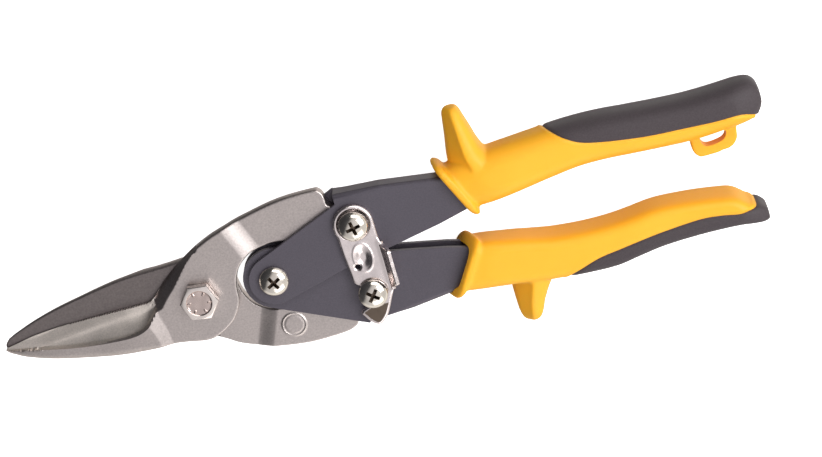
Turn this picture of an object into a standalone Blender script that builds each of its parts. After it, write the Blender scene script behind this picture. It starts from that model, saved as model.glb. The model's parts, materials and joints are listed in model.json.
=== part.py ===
"""Compound-lever aviation snips, closed, latched and lying on their backs.

Lengths here are millimetres and become Blender's metres through MM. The drawing's zero is the main
bolt's axis in the plane where the two blades meet. x runs from the bolt to the grips, y towards the
upper handle and z towards the latch. The front blade has the lower jaw and the upper tang, and the
rear blade and the lower handle are the same shapes turned half round the x axis.
"""

import math

import bmesh
import bpy
from mathutils import Matrix, Vector

MM = 0.001
GAP = 0.3  # between solids that touch on the real tool

# Pivots, as (x, y)
MAIN_PIVOT = (0.0, 0.0)
HANDLE_PIVOT = (25.0, 0.0)
UPPER_TANG_PIVOT = (55.0, 12.0)
LOWER_TANG_PIVOT = (55.0, -12.0)

# Overall reach
TIP_X = -67.3
END_X = 190.9
UPPER_HORN_Y = 40.0
LOWER_HORN_Y = -36.3
BACK_Z = -9.0

# Blades
BLADE_INNER_Z = 0.15
BLADE_OUTER_Z = 5.0
TANG_LOW_Z = -1.1
TANG_HIGH_Z = 3.2
JOGGLE_NORMAL = Vector((0.931, 0.365, 0.0))
JOGGLE_START = 18.8
JOGGLE_END = 26.6
TANG_EYE_R = 7.2
JAW_STATIONS = 22
JAW_END_X = -13.0
MARK_BOSS = ((26.6, -17.7), 4.3, 0.25)  # centre, radius and height of the plain boss on the rear tang

# Channels: an outer wall, an inner wall 1.8 mm nearer the other handle, and the web between them
STEEL = 1.8
OUTER_WALL_Z = (3.5, 5.3)
INNER_WALL_Z = (-3.2, -1.4)
OUTER_NOSE_R = 8.2
INNER_NOSE_R = 10.2
WEB_FRONT_X = 50.9
TAIL_END_X = 132.0
FOLD_R = 1.4

# Fasteners
BOLT_R = 3.1
BOLT_HEX = 11.1
BOLT_HEAD_H = 3.7
LOCKNUT_H = 3.7
SCREW_R = 2.0
SCREW_HEAD_R = 4.8
SCREW_HEAD_H = 2.8
NUT_HEX = 7.0
NUT_H = 2.8
RUNNING = 0.1
OPEN_PIVOT_PLAY = 0.55  # the front tang's hole is the linkage's open pivot

# Latch
LATCH_Z = (5.6, 7.1)
LATCH_TAB_TOP_Z = 12.0
LATCH_BOSS_R = 6.7
CATCH_R = 2.6
MOUTH_R = 3.0

# Spring
WIRE_R = 0.5
COIL_R = 4.3
COIL_TURNS = 1.5
COIL_PITCH = 1.05
BUSH_R = 3.2
BUSH_HALF_H = 1.1

# Grips
GRIP_HALF_Z = 9.0
PAD_SKIN = 2.6
SECTION_POINTS = 28

ROUND_STEPS = 28
HALF_TURN = Matrix.Rotation(math.pi, 4, "X")
UPRIGHT = Matrix.Identity(4)

ORIGIN = Vector(((TIP_X + END_X) / 2, (UPPER_HORN_Y + LOWER_HORN_Y) / 2, BACK_Z))

BODY_AXES = {
    "lower_handle": HANDLE_PIVOT,
    "upper_handle": HANDLE_PIVOT,
    "rear_blade": LOWER_TANG_PIVOT,
    "front_blade": MAIN_PIVOT,
    "latch": UPPER_TANG_PIVOT,
}

# Finishes: colour, roughness, metallic
FORGED_STEEL = ((0.40, 0.36, 0.33, 1.0), 0.42, 1.0)
CHARCOAL_PAINT = ((0.075, 0.070, 0.085, 1.0), 0.38, 0.2)
BRIGHT_NICKEL = ((0.72, 0.66, 0.60, 1.0), 0.18, 1.0)
PLATED_STEEL = ((0.62, 0.56, 0.56, 1.0), 0.28, 1.0)
SPRING_STEEL = ((0.30, 0.29, 0.28, 1.0), 0.35, 1.0)
YELLOW_GRIP = ((1.0, 0.56, 0.03, 1.0), 0.5, 0.0)
DARK_PAD = ((0.065, 0.055, 0.06, 1.0), 0.65, 0.0)


# ---------------------------------------------------------------- scene and objects


def clear_scene():
    for obj in list(bpy.data.objects):
        bpy.data.objects.remove(obj, do_unlink=True)


def new_collection(name):
    collection = bpy.data.collections.new(name)
    bpy.context.scene.collection.children.link(collection)
    return collection


def body_empties(collection):
    """One empty on each body's joint axis, in world metres."""
    empties = {}
    for body, (x, y) in BODY_AXES.items():
        empty = bpy.data.objects.new(body + "_axis", None)
        empty.empty_display_size = 5 * MM
        empty.location = (Vector((x, y, 0)) - ORIGIN) * MM
        collection.objects.link(empty)
        empties[body] = empty
    bpy.context.view_layer.update()
    return empties


def finish(name, look):
    colour, roughness, metallic = look
    material = bpy.data.materials.new(name)
    material.use_nodes = True
    shader = material.node_tree.nodes["Principled BSDF"]
    shader.inputs["Base Color"].default_value = colour
    shader.inputs["Roughness"].default_value = roughness
    shader.inputs["Metallic"].default_value = metallic
    material.diffuse_color = colour
    return material


def solid(name, mesh_data, body, collection):
    """An object from a bmesh in drawing millimetres, parented to its body's axis."""
    x, y = BODY_AXES[body]
    bmesh.ops.translate(mesh_data, verts=mesh_data.verts, vec=(-x, -y, 0))
    bmesh.ops.scale(mesh_data, verts=mesh_data.verts, vec=(MM, MM, MM))
    bmesh.ops.recalc_face_normals(mesh_data, faces=mesh_data.faces)
    mesh = bpy.data.meshes.new(name)
    mesh_data.to_mesh(mesh)
    mesh_data.free()
    obj = bpy.data.objects.new(name, mesh)
    obj.parent = EMPTIES[body]
    collection.objects.link(obj)
    if collection is CUTTERS:
        obj.hide_render = True
        obj.display_type = "WIRE"
    return obj


def part(name, mesh_data, body, look):
    obj = solid(name, mesh_data, body, PARTS)
    obj.data.materials.append(finish(name, look))
    return obj


def boolean(obj, mesh_data, body, operation):
    """Adds or takes away a helper shape, given as a bmesh in drawing millimetres."""
    helper = solid(f"{obj.name}_{operation.lower()}", mesh_data, body, CUTTERS)
    modifier = obj.modifiers.new(helper.name, "BOOLEAN")
    modifier.object = helper
    modifier.operation = operation
    modifier.solver = "EXACT"


def settle(obj):
    """Replaces an object's mesh by its evaluated one, so that it can be worked on further."""
    graph = bpy.context.evaluated_depsgraph_get()
    graph.update()
    mesh = bpy.data.meshes.new_from_object(obj.evaluated_get(graph))
    obj.modifiers.clear()
    obj.data = mesh
    return obj


def bevel(obj, width, segments=1, angle=40):
    modifier = obj.modifiers.new("edges", "BEVEL")
    modifier.width = width * MM
    modifier.segments = segments
    modifier.limit_method = "ANGLE"
    modifier.angle_limit = math.radians(angle)
    modifier.use_clamp_overlap = True
    return obj


def shade(obj, angle=35):
    obj.data.shade_smooth()
    obj.data.set_sharp_from_angle(angle=math.radians(angle))


# ---------------------------------------------------------------- shapes, in drawing millimetres


def polar(centre, radius, degrees):
    turn = math.radians(degrees)
    return (centre[0] + radius * math.cos(turn), centre[1] + radius * math.sin(turn))


def arc(centre, radius, start, end, steps):
    """Points from one angle to another, in degrees, both ends included."""
    return [polar(centre, radius, start + (end - start) * i / steps) for i in range(steps + 1)]


def filleted(corners, steps=4):
    """An outline whose corners (x, y, radius) are rounded by tangent arcs."""
    outline = []
    count = len(corners)
    for i, (x, y, radius) in enumerate(corners):
        here = Vector((x, y))
        before = (Vector(corners[i - 1][:2]) - here).normalized()
        after = (Vector(corners[(i + 1) % count][:2]) - here).normalized()
        if radius == 0:
            outline.append((x, y))
            continue
        half = before.angle(after) / 2
        reach = radius / math.tan(half)
        centre = here + (before + after).normalized() * (radius / math.sin(half))
        first = here + before * reach - centre
        last = here + after * reach - centre
        turn = first.angle_signed(last)
        for step in range(steps + 1):
            arm = first.copy()
            arm.rotate(Matrix.Rotation(-turn * step / steps, 2))
            outline.append(tuple(centre + arm))
    return outline


def between(points, x):
    """The y of a line through (x, y) points at x."""
    for (x0, y0), (x1, y1) in zip(points, points[1:]):
        if x <= x1:
            return y0 + (y1 - y0) * (x - x0) / (x1 - x0)
    return points[-1][1]


def sheet(outline, low, high):
    """A flat outline given a thickness: a filled 2D curve, extruded half each way."""
    curve = bpy.data.curves.new("outline", "CURVE")
    curve.dimensions = "2D"
    curve.fill_mode = "BOTH"
    curve.extrude = (high - low) / 2
    spline = curve.splines.new("POLY")
    spline.points.add(len(outline) - 1)
    for point, (x, y) in zip(spline.points, outline):
        point.co = (x, y, 0, 1)
    spline.use_cyclic_u = True
    obj = bpy.data.objects.new("outline", curve)
    bpy.context.scene.collection.objects.link(obj)
    graph = bpy.context.evaluated_depsgraph_get()
    graph.update()
    mesh = bpy.data.meshes.new_from_object(obj.evaluated_get(graph))
    made = bmesh.new()
    made.from_mesh(mesh)
    bmesh.ops.remove_doubles(made, verts=made.verts, dist=0.001)
    bmesh.ops.translate(made, verts=made.verts, vec=(0, 0, (low + high) / 2))
    bpy.data.objects.remove(obj)
    bpy.data.meshes.remove(mesh)
    return made


def rod(centre, radius, low, high, steps=ROUND_STEPS):
    made = bmesh.new()
    place = Matrix.Translation((centre[0], centre[1], (low + high) / 2))
    bmesh.ops.create_cone(
        made, cap_ends=True, segments=steps, radius1=radius, radius2=radius, depth=high - low, matrix=place
    )
    return made


def tube(centre, outer, inner, low, high, steps=ROUND_STEPS):
    """A sleeve: a ring profile spun about its own axis."""
    made = bmesh.new()
    corners = [(inner, low), (outer, low), (outer, high), (inner, high)]
    spin_profile(made, corners, centre, steps, closed=True)
    return made


def spin_profile(made, profile, centre, steps, closed=False):
    """Turns a profile of (radius, z) points about the vertical axis through centre."""
    rings = []
    for i in range(steps):
        turn = 2 * math.pi * i / steps
        ring = []
        for radius, z in profile:
            place = (centre[0] + radius * math.cos(turn), centre[1] + radius * math.sin(turn), z)
            ring.append(made.verts.new(place))
        rings.append(ring)
    last = len(profile) if closed else len(profile) - 1
    for i in range(steps):
        here, there = rings[i], rings[(i + 1) % steps]
        for j in range(last):
            k = (j + 1) % len(profile)
            made.faces.new((here[j], there[j], there[k], here[k]))
    if not closed:
        made.faces.new([ring[0] for ring in reversed(rings)])
        made.faces.new([ring[-1] for ring in rings])


def turned(centre, profile, steps=ROUND_STEPS):
    """A round solid whose profile of (radius, z) points is capped flat at both ends."""
    made = bmesh.new()
    spin_profile(made, profile, centre, steps)
    return made


def skinned(rings):
    """A closed loft through rings of points, capped at both ends."""
    made = bmesh.new()
    loops = [[made.verts.new(point) for point in ring] for ring in rings]
    count = len(rings[0])
    for here, there in zip(loops, loops[1:]):
        for j in range(count):
            k = (j + 1) % count
            made.faces.new((here[j], here[k], there[k], there[j]))
    made.faces.new(list(reversed(loops[0])))
    made.faces.new(loops[-1])
    return made


def turned_over(made, turn):
    """The same shape for the rear blade or the lower handle."""
    bmesh.ops.transform(made, matrix=turn, verts=made.verts)
    return made


# ---------------------------------------------------------------- blades


# The sloping front step, at the plate's inner face and at its outer one
STEP_FOOT = [
    (-13.3, -8.0), (-13.8, -4.9), (-16.2, -2.3), (-16.4, 2.2),
    (-12.5, 5.6), (-9.5, 8.3), (-2.9, 13.2), (3.5, 17.0),
]
STEP_TOP = [
    (-13.3, -8.0), (-13.7, -4.7), (-14.6, -1.4), (-13.2, 0.4),
    (-10.6, 3.5), (-7.9, 6.6), (-1.6, 12.9), (4.2, 16.7),
]
# The tang's back from the step to its end, and the heel behind the jaw's root
FRONT_TANG_BACK = [(11.0, 20.1, 0), (21.2, 22.7, 0), (33.2, 25.0, 0), (47.2, 25.3, 1.0), (48.2, 19.6, 0)]
FRONT_HEEL = [(3.4, -13.2, 0), (-0.3, -14.4, 0), (-3.9, -14.0, 0), (-8.0, -13.2, 0), (-13.2, -12.3, 0)]
REAR_TANG_BACK = [(8.0, 19.9, 0), (14.7, 22.5, 0), (21.0, 24.0, 0), (31.2, 25.2, 0), (42.0, 24.8, 0)]
REAR_TANG_BACK += [(46.6, 23.4, 1.4), (47.6, 19.6, 0)]
REAR_HEEL = [(3.4, -12.2, 0), (-0.3, -12.6, 0), (-3.9, -12.3, 0), (-8.0, -11.9, 0), (-13.2, -11.5, 0)]
TANG_THROAT = [
    (39.0, 9.4, 0), (29.0, 11.7, 0), (24.2, 11.4, 0), (19.5, 10.4, 0), (15.6, 7.5, 0),
    (13.4, 3.5, 0), (12.6, 0.0, 0), (12.3, -3.3, 0), (11.2, -6.2, 0), (8.4, -10.0, 0),
]


def plate_outline(step_points, back, heel):
    """The plate and its tang: front step, back, eye round the tang pivot, throat and heel."""
    eye = [(x, y, 0) for x, y in arc(UPPER_TANG_PIVOT, TANG_EYE_R, 128, -125, 16)]
    return step_points + filleted(back + eye + TANG_THROAT + heel, steps=3)


def plate_with_tang(back, heel):
    """The blade's thick plate, its sloping front step and the tang set back by the joggle."""
    foot = plate_outline(STEP_FOOT, back, heel)
    top = plate_outline(STEP_TOP, back, heel)
    rings = [[(x, y, BLADE_INNER_Z) for x, y in foot], [(x, y, BLADE_OUTER_Z) for x, y in top]]
    made = skinned(rings)
    for reach in (JOGGLE_START, JOGGLE_END):
        everything = made.verts[:] + made.edges[:] + made.faces[:]
        bmesh.ops.bisect_plane(
            made, geom=everything, plane_co=JOGGLE_NORMAL * reach, plane_no=JOGGLE_NORMAL
        )
    for vert in made.verts:
        along = (vert.co.dot(JOGGLE_NORMAL) - JOGGLE_START) / (JOGGLE_END - JOGGLE_START)
        share = min(1.0, max(0.0, along))
        if vert.co.z > (BLADE_INNER_Z + BLADE_OUTER_Z) / 2:
            vert.co.z += share * (TANG_HIGH_Z - BLADE_OUTER_Z)
        else:
            vert.co.z += share * (TANG_LOW_Z - BLADE_INNER_Z)
    return made


FRONT_EDGE = [(-67.3, -1.2), (-61.2, -0.1), (-56.0, 0.8), (-46.0, 1.6), (-34.0, 2.0), (-13.0, 2.3)]
REAR_EDGE = [(-67.0, 1.5), (-61.2, 1.2), (-56.0, 1.3), (-46.0, 1.6), (-34.0, 2.0), (-13.0, 2.3)]
CREASE = [(-67.3, -1.5), (-57.0, -3.0), (-52.0, -3.0), (-44.2, -2.1), (-34.6, -0.7), (-13.0, 0.9)]
HOLLOW_RIM = [
    (-67.3, -1.6), (-57.0, -3.4), (-46.3, -5.3), (-39.7, -6.3), (-31.3, -6.8),
    (-22.8, -6.6), (-19.6, -5.4), (-17.2, -3.2), (-15.8, -1.9), (-13.0, -0.4),
]
FRONT_JAW_BACK = [
    (TIP_X, -1.9), (-64.7, -3.7), (-60.3, -5.8), (-51.0, -8.6), (-37.8, -11.3), (-30.3, -12.5),
    (-22.0, -12.8), (JAW_END_X, -12.3),
]
REAR_JAW_BACK = [
    (-66.9, 0.6), (-66.0, -0.8), (-64.1, -1.9), (-55.6, -5.0), (-47.3, -7.2), (-39.2, -8.9),
    (-32.1, -10.2), (-23.8, -11.4), (JAW_END_X, -12.2),
]
JAW_THICKNESS = [(-67.3, 1.7), (-60.0, 2.9), (-50.0, 4.0), (-38.0, 4.7), (-13.0, 4.9)]


def jaw_section(x, edge_line, back_line):
    """One cross-section of a jaw: edge bevel, hollow, raised lip and rounded back."""
    edge = between(edge_line, x)
    crease = min(between(CREASE, x), edge - 0.3)
    rim = between(HOLLOW_RIM, x)
    back = between(back_line, x)
    rim = max(rim, back + 0.35 * (crease - back))
    thick = between(JAW_THICKNESS, x)
    crease_z = 0.5 * thick
    hollow_z = 0.42 * thick
    middle = (crease + rim) / 2
    shoulder = back + 0.3 * (rim - back)
    profile = [
        (edge, BLADE_INNER_Z), (edge, BLADE_INNER_Z + 0.55), (crease, crease_z), (middle, hollow_z),
        (rim + 0.12 * (middle - rim), 0.8 * thick), (rim, thick), (shoulder, 0.93 * thick),
        (back + 0.05 * (rim - back), 0.6 * thick), (back, 0.4 * thick), (back, BLADE_INNER_Z),
    ]
    return [(x, y, z) for y, z in profile]


def jaw(edge_line, back_line):
    tip = back_line[0][0]
    step = (JAW_END_X - tip) / JAW_STATIONS
    stations = [tip + step * i for i in range(JAW_STATIONS)] + [-19.6, -17.4, -15.9, JAW_END_X]
    return skinned([jaw_section(x, edge_line, back_line) for x in sorted(stations)])


def blade(name, turn, jaw_edge, jaw_back, tang_back, heel, hole_r):
    obj = part(name, turned_over(plate_with_tang(tang_back, heel), turn), name, FORGED_STEEL)
    boolean(obj, turned_over(jaw(jaw_edge, jaw_back), turn), name, "UNION")
    if turn is HALF_TURN:
        centre, radius, height = MARK_BOSS
        boolean(obj, rod(centre, radius, 0, height - TANG_LOW_Z), name, "UNION")
    boolean(obj, rod(MAIN_PIVOT, BOLT_R + RUNNING, -8, 8), name, "DIFFERENCE")
    pivot = UPPER_TANG_PIVOT if turn is UPRIGHT else LOWER_TANG_PIVOT
    boolean(obj, rod(pivot, hole_r, -6, 6), name, "DIFFERENCE")
    settle(obj)
    shade(obj)


# ---------------------------------------------------------------- handle channels

WEB_TOP = [(WEB_FRONT_X, 22.8), (66.0, 22.0), (84.0, 19.6), (104.0, 18.8), (TAIL_END_X, 18.4)]
CHANNEL_MOUTH = [(47.8, -2.3), (66.0, 1.4), (81.7, 4.5), (91.0, 6.9), (104.0, 11.4), (TAIL_END_X, 13.8)]
OUTER_DIAGONAL = 22.4
INNER_DIAGONAL = 24.6
MOUTH_SLOPE = 16.0


def wall_outline(nose_r, diagonal):
    """A channel wall: nose round the handle pivot, diagonal front, web edge and open edge."""
    nose = arc(HANDLE_PIVOT, nose_r, 90 + diagonal, 270 + MOUTH_SLOPE, 16)
    foot = polar(HANDLE_PIVOT, nose_r, 90 + diagonal)
    shoulder_y = foot[1] + (WEB_FRONT_X - foot[0]) * math.tan(math.radians(diagonal))
    return nose + CHANNEL_MOUTH + list(reversed(WEB_TOP)) + [(WEB_FRONT_X, shoulder_y)]


def web_outline():
    return WEB_TOP + [(x, y - STEEL) for x, y in reversed(WEB_TOP)]


def fold_edges(made):
    """The outer long edges of the web, where the stamping is bent."""
    found = []
    for edge in made.edges:
        ends = [vert.co for vert in edge.verts]
        on_top = all(abs(co.y - between(WEB_TOP, co.x)) < 0.02 for co in ends)
        level = abs(ends[0].z - ends[1].z) < 0.01
        outside = abs(ends[0].z - OUTER_WALL_Z[1]) < 0.01 or abs(ends[0].z - INNER_WALL_Z[0]) < 0.01
        if on_top and level and outside and abs(ends[0].x - ends[1].x) > 0.5:
            found.append(edge)
    return found


def channel(name, body, turn):
    block = sheet(wall_outline(OUTER_NOSE_R, OUTER_DIAGONAL), *OUTER_WALL_Z)
    obj = part(name, block, body, CHARCOAL_PAINT)
    boolean(obj, sheet(web_outline(), INNER_WALL_Z[0], OUTER_WALL_Z[1]), body, "UNION")
    boolean(obj, sheet(wall_outline(INNER_NOSE_R, INNER_DIAGONAL), *INNER_WALL_Z), body, "UNION")
    settle(obj)
    x, y = BODY_AXES[body]
    made = bmesh.new()
    made.from_mesh(obj.data)
    bmesh.ops.scale(made, verts=made.verts, vec=(1 / MM, 1 / MM, 1 / MM))
    bmesh.ops.translate(made, verts=made.verts, vec=(x, y, 0))
    bmesh.ops.remove_doubles(made, verts=made.verts, dist=0.005)
    bmesh.ops.dissolve_limit(
        made, angle_limit=math.radians(0.5), verts=made.verts, edges=made.edges
    )
    bmesh.ops.bevel(made, geom=fold_edges(made), offset=FOLD_R, segments=3, affect="EDGES", profile=0.5)
    turned_over(made, turn)
    bmesh.ops.translate(made, verts=made.verts, vec=(-x, -y, 0))
    bmesh.ops.scale(made, verts=made.verts, vec=(MM, MM, MM))
    made.to_mesh(obj.data)
    made.free()
    tang_pivot = UPPER_TANG_PIVOT if turn is UPRIGHT else LOWER_TANG_PIVOT
    boolean(obj, rod(HANDLE_PIVOT, SCREW_R + RUNNING, -8, 8), body, "DIFFERENCE")
    boolean(obj, rod(tang_pivot, SCREW_R + RUNNING, -8, 8), body, "DIFFERENCE")
    settle(obj)
    shade(obj)


# ---------------------------------------------------------------- fasteners


def hexagon(centre, across, low, high, turn=0.0, chamfer=0.0):
    """A hexagonal prism whose top corners are cut by a cone."""
    made = bmesh.new()
    corner = across / math.sqrt(3)
    place = Matrix.Translation((centre[0], centre[1], (low + high) / 2)) @ Matrix.Rotation(turn, 4, "Z")
    bmesh.ops.create_cone(
        made, cap_ends=True, segments=6, radius1=corner, radius2=corner, depth=high - low, matrix=place
    )
    if chamfer:
        tops = [edge for edge in made.edges if all(vert.co.z > (low + high) / 2 for vert in edge.verts)]
        bmesh.ops.bevel(made, geom=tops, offset=chamfer, segments=1, affect="EDGES")
    return made


def pivot_bolt():
    """Hex head on the front blade, shank through both blades."""
    low = BLADE_OUTER_Z + GAP
    head = hexagon(MAIN_PIVOT, BOLT_HEX, low + 1.0, low + BOLT_HEAD_H, math.radians(22), 0.7)
    obj = part("pivot_bolt", head, "rear_blade", PLATED_STEEL)
    boolean(obj, turned(MAIN_PIVOT, [(6.2, low + 1.2), (6.2, low)]), "rear_blade", "UNION")
    shank = turned(MAIN_PIVOT, [(BOLT_R, low + 2), (BOLT_R, BACK_Z + 0.9), (BOLT_R - 0.5, BACK_Z + 0.4)])
    boolean(obj, shank, "rear_blade", "UNION")
    settle(obj)
    shade(obj)


def locknut():
    low = BACK_Z
    high = BACK_Z + LOCKNUT_H
    body = hexagon(MAIN_PIVOT, BOLT_HEX, low, high, math.radians(20))
    obj = part("pivot_locknut", body, "rear_blade", PLATED_STEEL)
    boolean(obj, rod(MAIN_PIVOT, BOLT_R + RUNNING, low - 1, high + 1), "rear_blade", "DIFFERENCE")
    settle(obj)
    shade(obj)


def cross_recess(centre, top, turn):
    """The two arms of a tapered cross, as a screwdriver bit leaves it."""
    for quarter in (0, math.pi / 2):
        low = [(-0.9, -0.25), (0.9, -0.25), (0.9, 0.25), (-0.9, 0.25)]
        high = [(-2.5, -0.55), (2.5, -0.55), (2.5, 0.55), (-2.5, 0.55)]
        blade_shape = skinned(
            [[(x, y, top - 2.0) for x, y in low], [(x, y, top + 0.4) for x, y in high]]
        )
        place = Matrix.Translation((centre[0], centre[1], 0)) @ Matrix.Rotation(turn + quarter, 4, "Z")
        bmesh.ops.transform(blade_shape, matrix=place, verts=blade_shape.verts)
        yield blade_shape


def pan_screw(name, body, centre, head_low, tip_z, turn):
    """A domed cross-recess screw standing in z from its tip to its head."""
    rim_z = head_low + 0.7
    rise = SCREW_HEAD_H - 0.7
    turns = [math.radians(a) for a in (78, 56, 34, 16, 0)]
    dome = [(SCREW_HEAD_R * math.cos(a), rim_z + rise * math.sin(a)) for a in turns]
    shank = [(SCREW_R, head_low), (SCREW_R, tip_z + 0.4), (SCREW_R - 0.4, tip_z)]
    profile = dome + [(SCREW_HEAD_R, head_low)] + shank
    obj = part(name, turned(centre, profile, 24), body, BRIGHT_NICKEL)
    for arm in cross_recess(centre, head_low + SCREW_HEAD_H, turn):
        boolean(obj, arm, body, "DIFFERENCE")
    settle(obj)
    shade(obj)


def hex_nut(name, body, centre, high):
    low = high - NUT_H
    obj = part(name, hexagon(centre, NUT_HEX, low, high), body, BRIGHT_NICKEL)
    boolean(obj, rod(centre, SCREW_R + RUNNING, low - 1, high + 1, 20), body, "DIFFERENCE")
    settle(obj)
    shade(obj)


# ---------------------------------------------------------------- latch


def latch_outline():
    """Boss over the upper tang pivot, arm, and hook round the catch with its mouth towards the jaws."""
    boss = arc(UPPER_TANG_PIVOT, LATCH_BOSS_R, -5, 200, 14)
    arm = [(49.0, 4.0), (49.4, -3.0), (49.6, -6.8), (50.6, -8.3), (51.8, -8.9)]
    floor = arc(LOWER_TANG_PIVOT, MOUTH_R, 90, -72, 8)
    lip = [(53.2, -15.95), (51.0, -16.75), (49.6, -17.2)]
    hook = [(49.3, -18.2), (52.6, -22.4), (54.2, -23.2), (55.6, -22.6), (58.0, -20.0), (61.6, -13.6)]
    side = [(61.9, -12.4), (62.1, 3.2), (61.7, 6.0)]
    return boss + arm + floor + lip + hook + side


def latch_plate():
    obj = part("latch_plate", sheet(latch_outline(), *LATCH_Z), "latch", PLATED_STEEL)
    low, high = LATCH_Z
    fold = [(60.2, low), (61.9, low), (64.9, LATCH_TAB_TOP_Z), (63.3, LATCH_TAB_TOP_Z), (60.6, high)]
    ends = [3.4, 1.9, -10.6, -12.2]
    drops = [2.2, 0.0, 0.0, 2.2]
    rings = []
    for y, drop in zip(ends, drops):
        share = [0, 0, drop, drop, 0]
        rings.append([(x - 0.6 * s, y, z - s) for (x, z), s in zip(fold, share)])
    boolean(obj, skinned(rings), "latch", "UNION")
    boolean(obj, rod(UPPER_TANG_PIVOT, SCREW_R + RUNNING, 0, 12), "latch", "DIFFERENCE")
    boolean(obj, rod((52.6, -2.6), 0.95, 0, 12, 12), "latch", "DIFFERENCE")
    dimple = bmesh.new()
    place = Matrix.Translation((55.0, 0.4, high + 1.9)) @ Matrix.Diagonal((2.9, 4.4, 2.6, 1))
    bmesh.ops.create_uvsphere(dimple, u_segments=16, v_segments=10, radius=1, matrix=place)
    boolean(obj, dimple, "latch", "DIFFERENCE")
    settle(obj)
    shade(obj)


# ---------------------------------------------------------------- spring


def wire_coil():
    """Torsion spring: one and a half turns on the handle pivot, with a leg in each channel."""
    steps = 30
    start = -100.0
    end = start + 360 * COIL_TURNS
    height = COIL_PITCH * COIL_TURNS
    route = []
    for i in range(steps + 1):
        x, y = polar(HANDLE_PIVOT, COIL_R, start + (end - start) * i / steps)
        route.append(Vector((x, y, height * (i / steps - 0.5))))
    first_leg = [Vector((49.0, -5.1, -height / 2)), Vector((38.0, -5.9, -height / 2))]
    first_leg.append(Vector((30.0, -5.4, -height / 2)))
    second_leg = [Vector((point.x, -point.y, -point.z)) for point in reversed(first_leg)]
    route = first_leg + route + second_leg
    curve = bpy.data.curves.new("wire", "CURVE")
    curve.dimensions = "3D"
    curve.bevel_depth = WIRE_R
    curve.bevel_resolution = 2
    curve.use_fill_caps = True
    spline = curve.splines.new("POLY")
    spline.points.add(len(route) - 1)
    for point, co in zip(spline.points, route):
        point.co = (*co, 1)
    obj = bpy.data.objects.new("wire", curve)
    bpy.context.scene.collection.objects.link(obj)
    graph = bpy.context.evaluated_depsgraph_get()
    graph.update()
    mesh = bpy.data.meshes.new_from_object(obj.evaluated_get(graph))
    made = bmesh.new()
    made.from_mesh(mesh)
    bmesh.ops.remove_doubles(made, verts=made.verts, dist=0.001)
    bpy.data.objects.remove(obj)
    bpy.data.meshes.remove(mesh)
    return made


# ---------------------------------------------------------------- grips

# Each grip as if on the upper side. A station is x, inner y and outer y. The pad's edge line holds at
# mid height and slants by pad_slant in x for each mm of z. A horn section is y, x from, x to and half
# height. The rim is the rolled one at the mouth: x at mid height, inner y, outer y, and its lean.
UPPER_GRIP = {
    "stations": [
        (89.6, 6.0, 21.7), (94.0, 6.2, 22.4), (104.0, 7.4, 23.9), (112.0, 8.5, 24.7), (121.0, 9.8, 25.5),
        (130.0, 11.0, 26.0), (139.0, 11.1, 25.9), (148.0, 10.6, 25.2), (158.0, 10.1, 24.5),
        (168.0, 10.0, 24.1), (178.0, 11.0, 24.3), (184.5, 11.9, 25.0), (188.3, 12.9, 24.5),
        (190.2, 14.7, 23.0), (END_X, 16.4, 21.2),
    ],
    "pad_edge": [
        (115.8, 33.0), (121.8, 26.4), (126.5, 22.0), (130.8, 20.0), (142.3, 17.9), (150.0, 16.7),
        (164.0, 16.0), (178.6, 16.5), (185.5, 14.9), (197.0, 10.0),
    ],
    "pad_slant": 0.25,
    "horn": [
        (15.0, 90.5, 108.0, 7.6), (21.5, 89.3, 102.0, 7.6), (24.6, 89.6, 100.4, 7.4),
        (27.5, 90.0, 99.6, 7.0), (32.0, 90.6, 98.6, 6.2), (36.0, 91.2, 97.4, 5.2),
        (38.6, 91.9, 96.2, 3.6), (UPPER_HORN_Y, 93.2, 94.8, 1.6),
    ],
    "rim": (88.7, 4.5, 23.5, -0.46),
}
LOWER_GRIP = {
    "stations": [
        (84.0, 4.4, 19.9), (90.0, 4.8, 20.5), (97.0, 5.9, 21.2), (103.5, 6.9, 22.0), (110.0, 8.1, 23.0),
        (117.0, 9.2, 23.6), (126.0, 9.9, 24.1), (134.0, 9.9, 24.1), (141.0, 9.3, 22.9), (150.0, 8.3, 21.5),
        (161.0, 8.9, 20.9), (170.0, 10.1, 20.9), (175.5, 11.4, 21.2), (179.6, 14.8, 21.9),
        (182.9, 17.2, 22.4), (184.8, 19.2, 21.8),
    ],
    "pad_edge": [
        (108.0, 30.0), (113.5, 26.2), (119.3, 22.6), (127.7, 18.9), (135.7, 17.4), (149.1, 15.2),
        (163.8, 14.5), (175.5, 15.7), (183.6, 14.3), (192.0, 11.0),
    ],
    "pad_slant": 0.0,
    "horn": [
        (15.0, 96.5, 114.5, 7.2), (20.5, 98.0, 113.8, 7.2), (23.2, 98.8, 111.8, 7.0), (26.3, 99.0, 109.6, 6.4),
        (30.0, 99.4, 107.8, 5.6), (33.2, 100.2, 106.0, 4.4), (35.3, 101.2, 104.6, 3.0),
        (-LOWER_HORN_Y, 102.1, 103.5, 1.4),
    ],
    "rim": (83.2, 2.9, 21.6, -0.25),
}
COLLAR_RINGS = [(-0.9, -1.3), (0.0, -0.3), (1.4, 0.0), (2.8, -0.6), (4.0, -2.6)]  # shift along, growth
COLLAR_BLEND = 26.0  # over this length the sections lose the collar's lean
END_ROUNDING = 12.0
END_DROP = 3.5
SECTION_POWER = 4.2
SKIN_TRIM = 3.0


def superellipse(half_y, half_z, power, count):
    """Points round a rounded-square section."""
    points = []
    for i in range(count):
        turn = 2 * math.pi * (i + 0.5) / count
        c = math.cos(turn)
        s = math.sin(turn)
        y = half_y * math.copysign(abs(c) ** (2 / power), c)
        z = half_z * math.copysign(abs(s) ** (2 / power), s)
        points.append((y, z))
    return points


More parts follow.
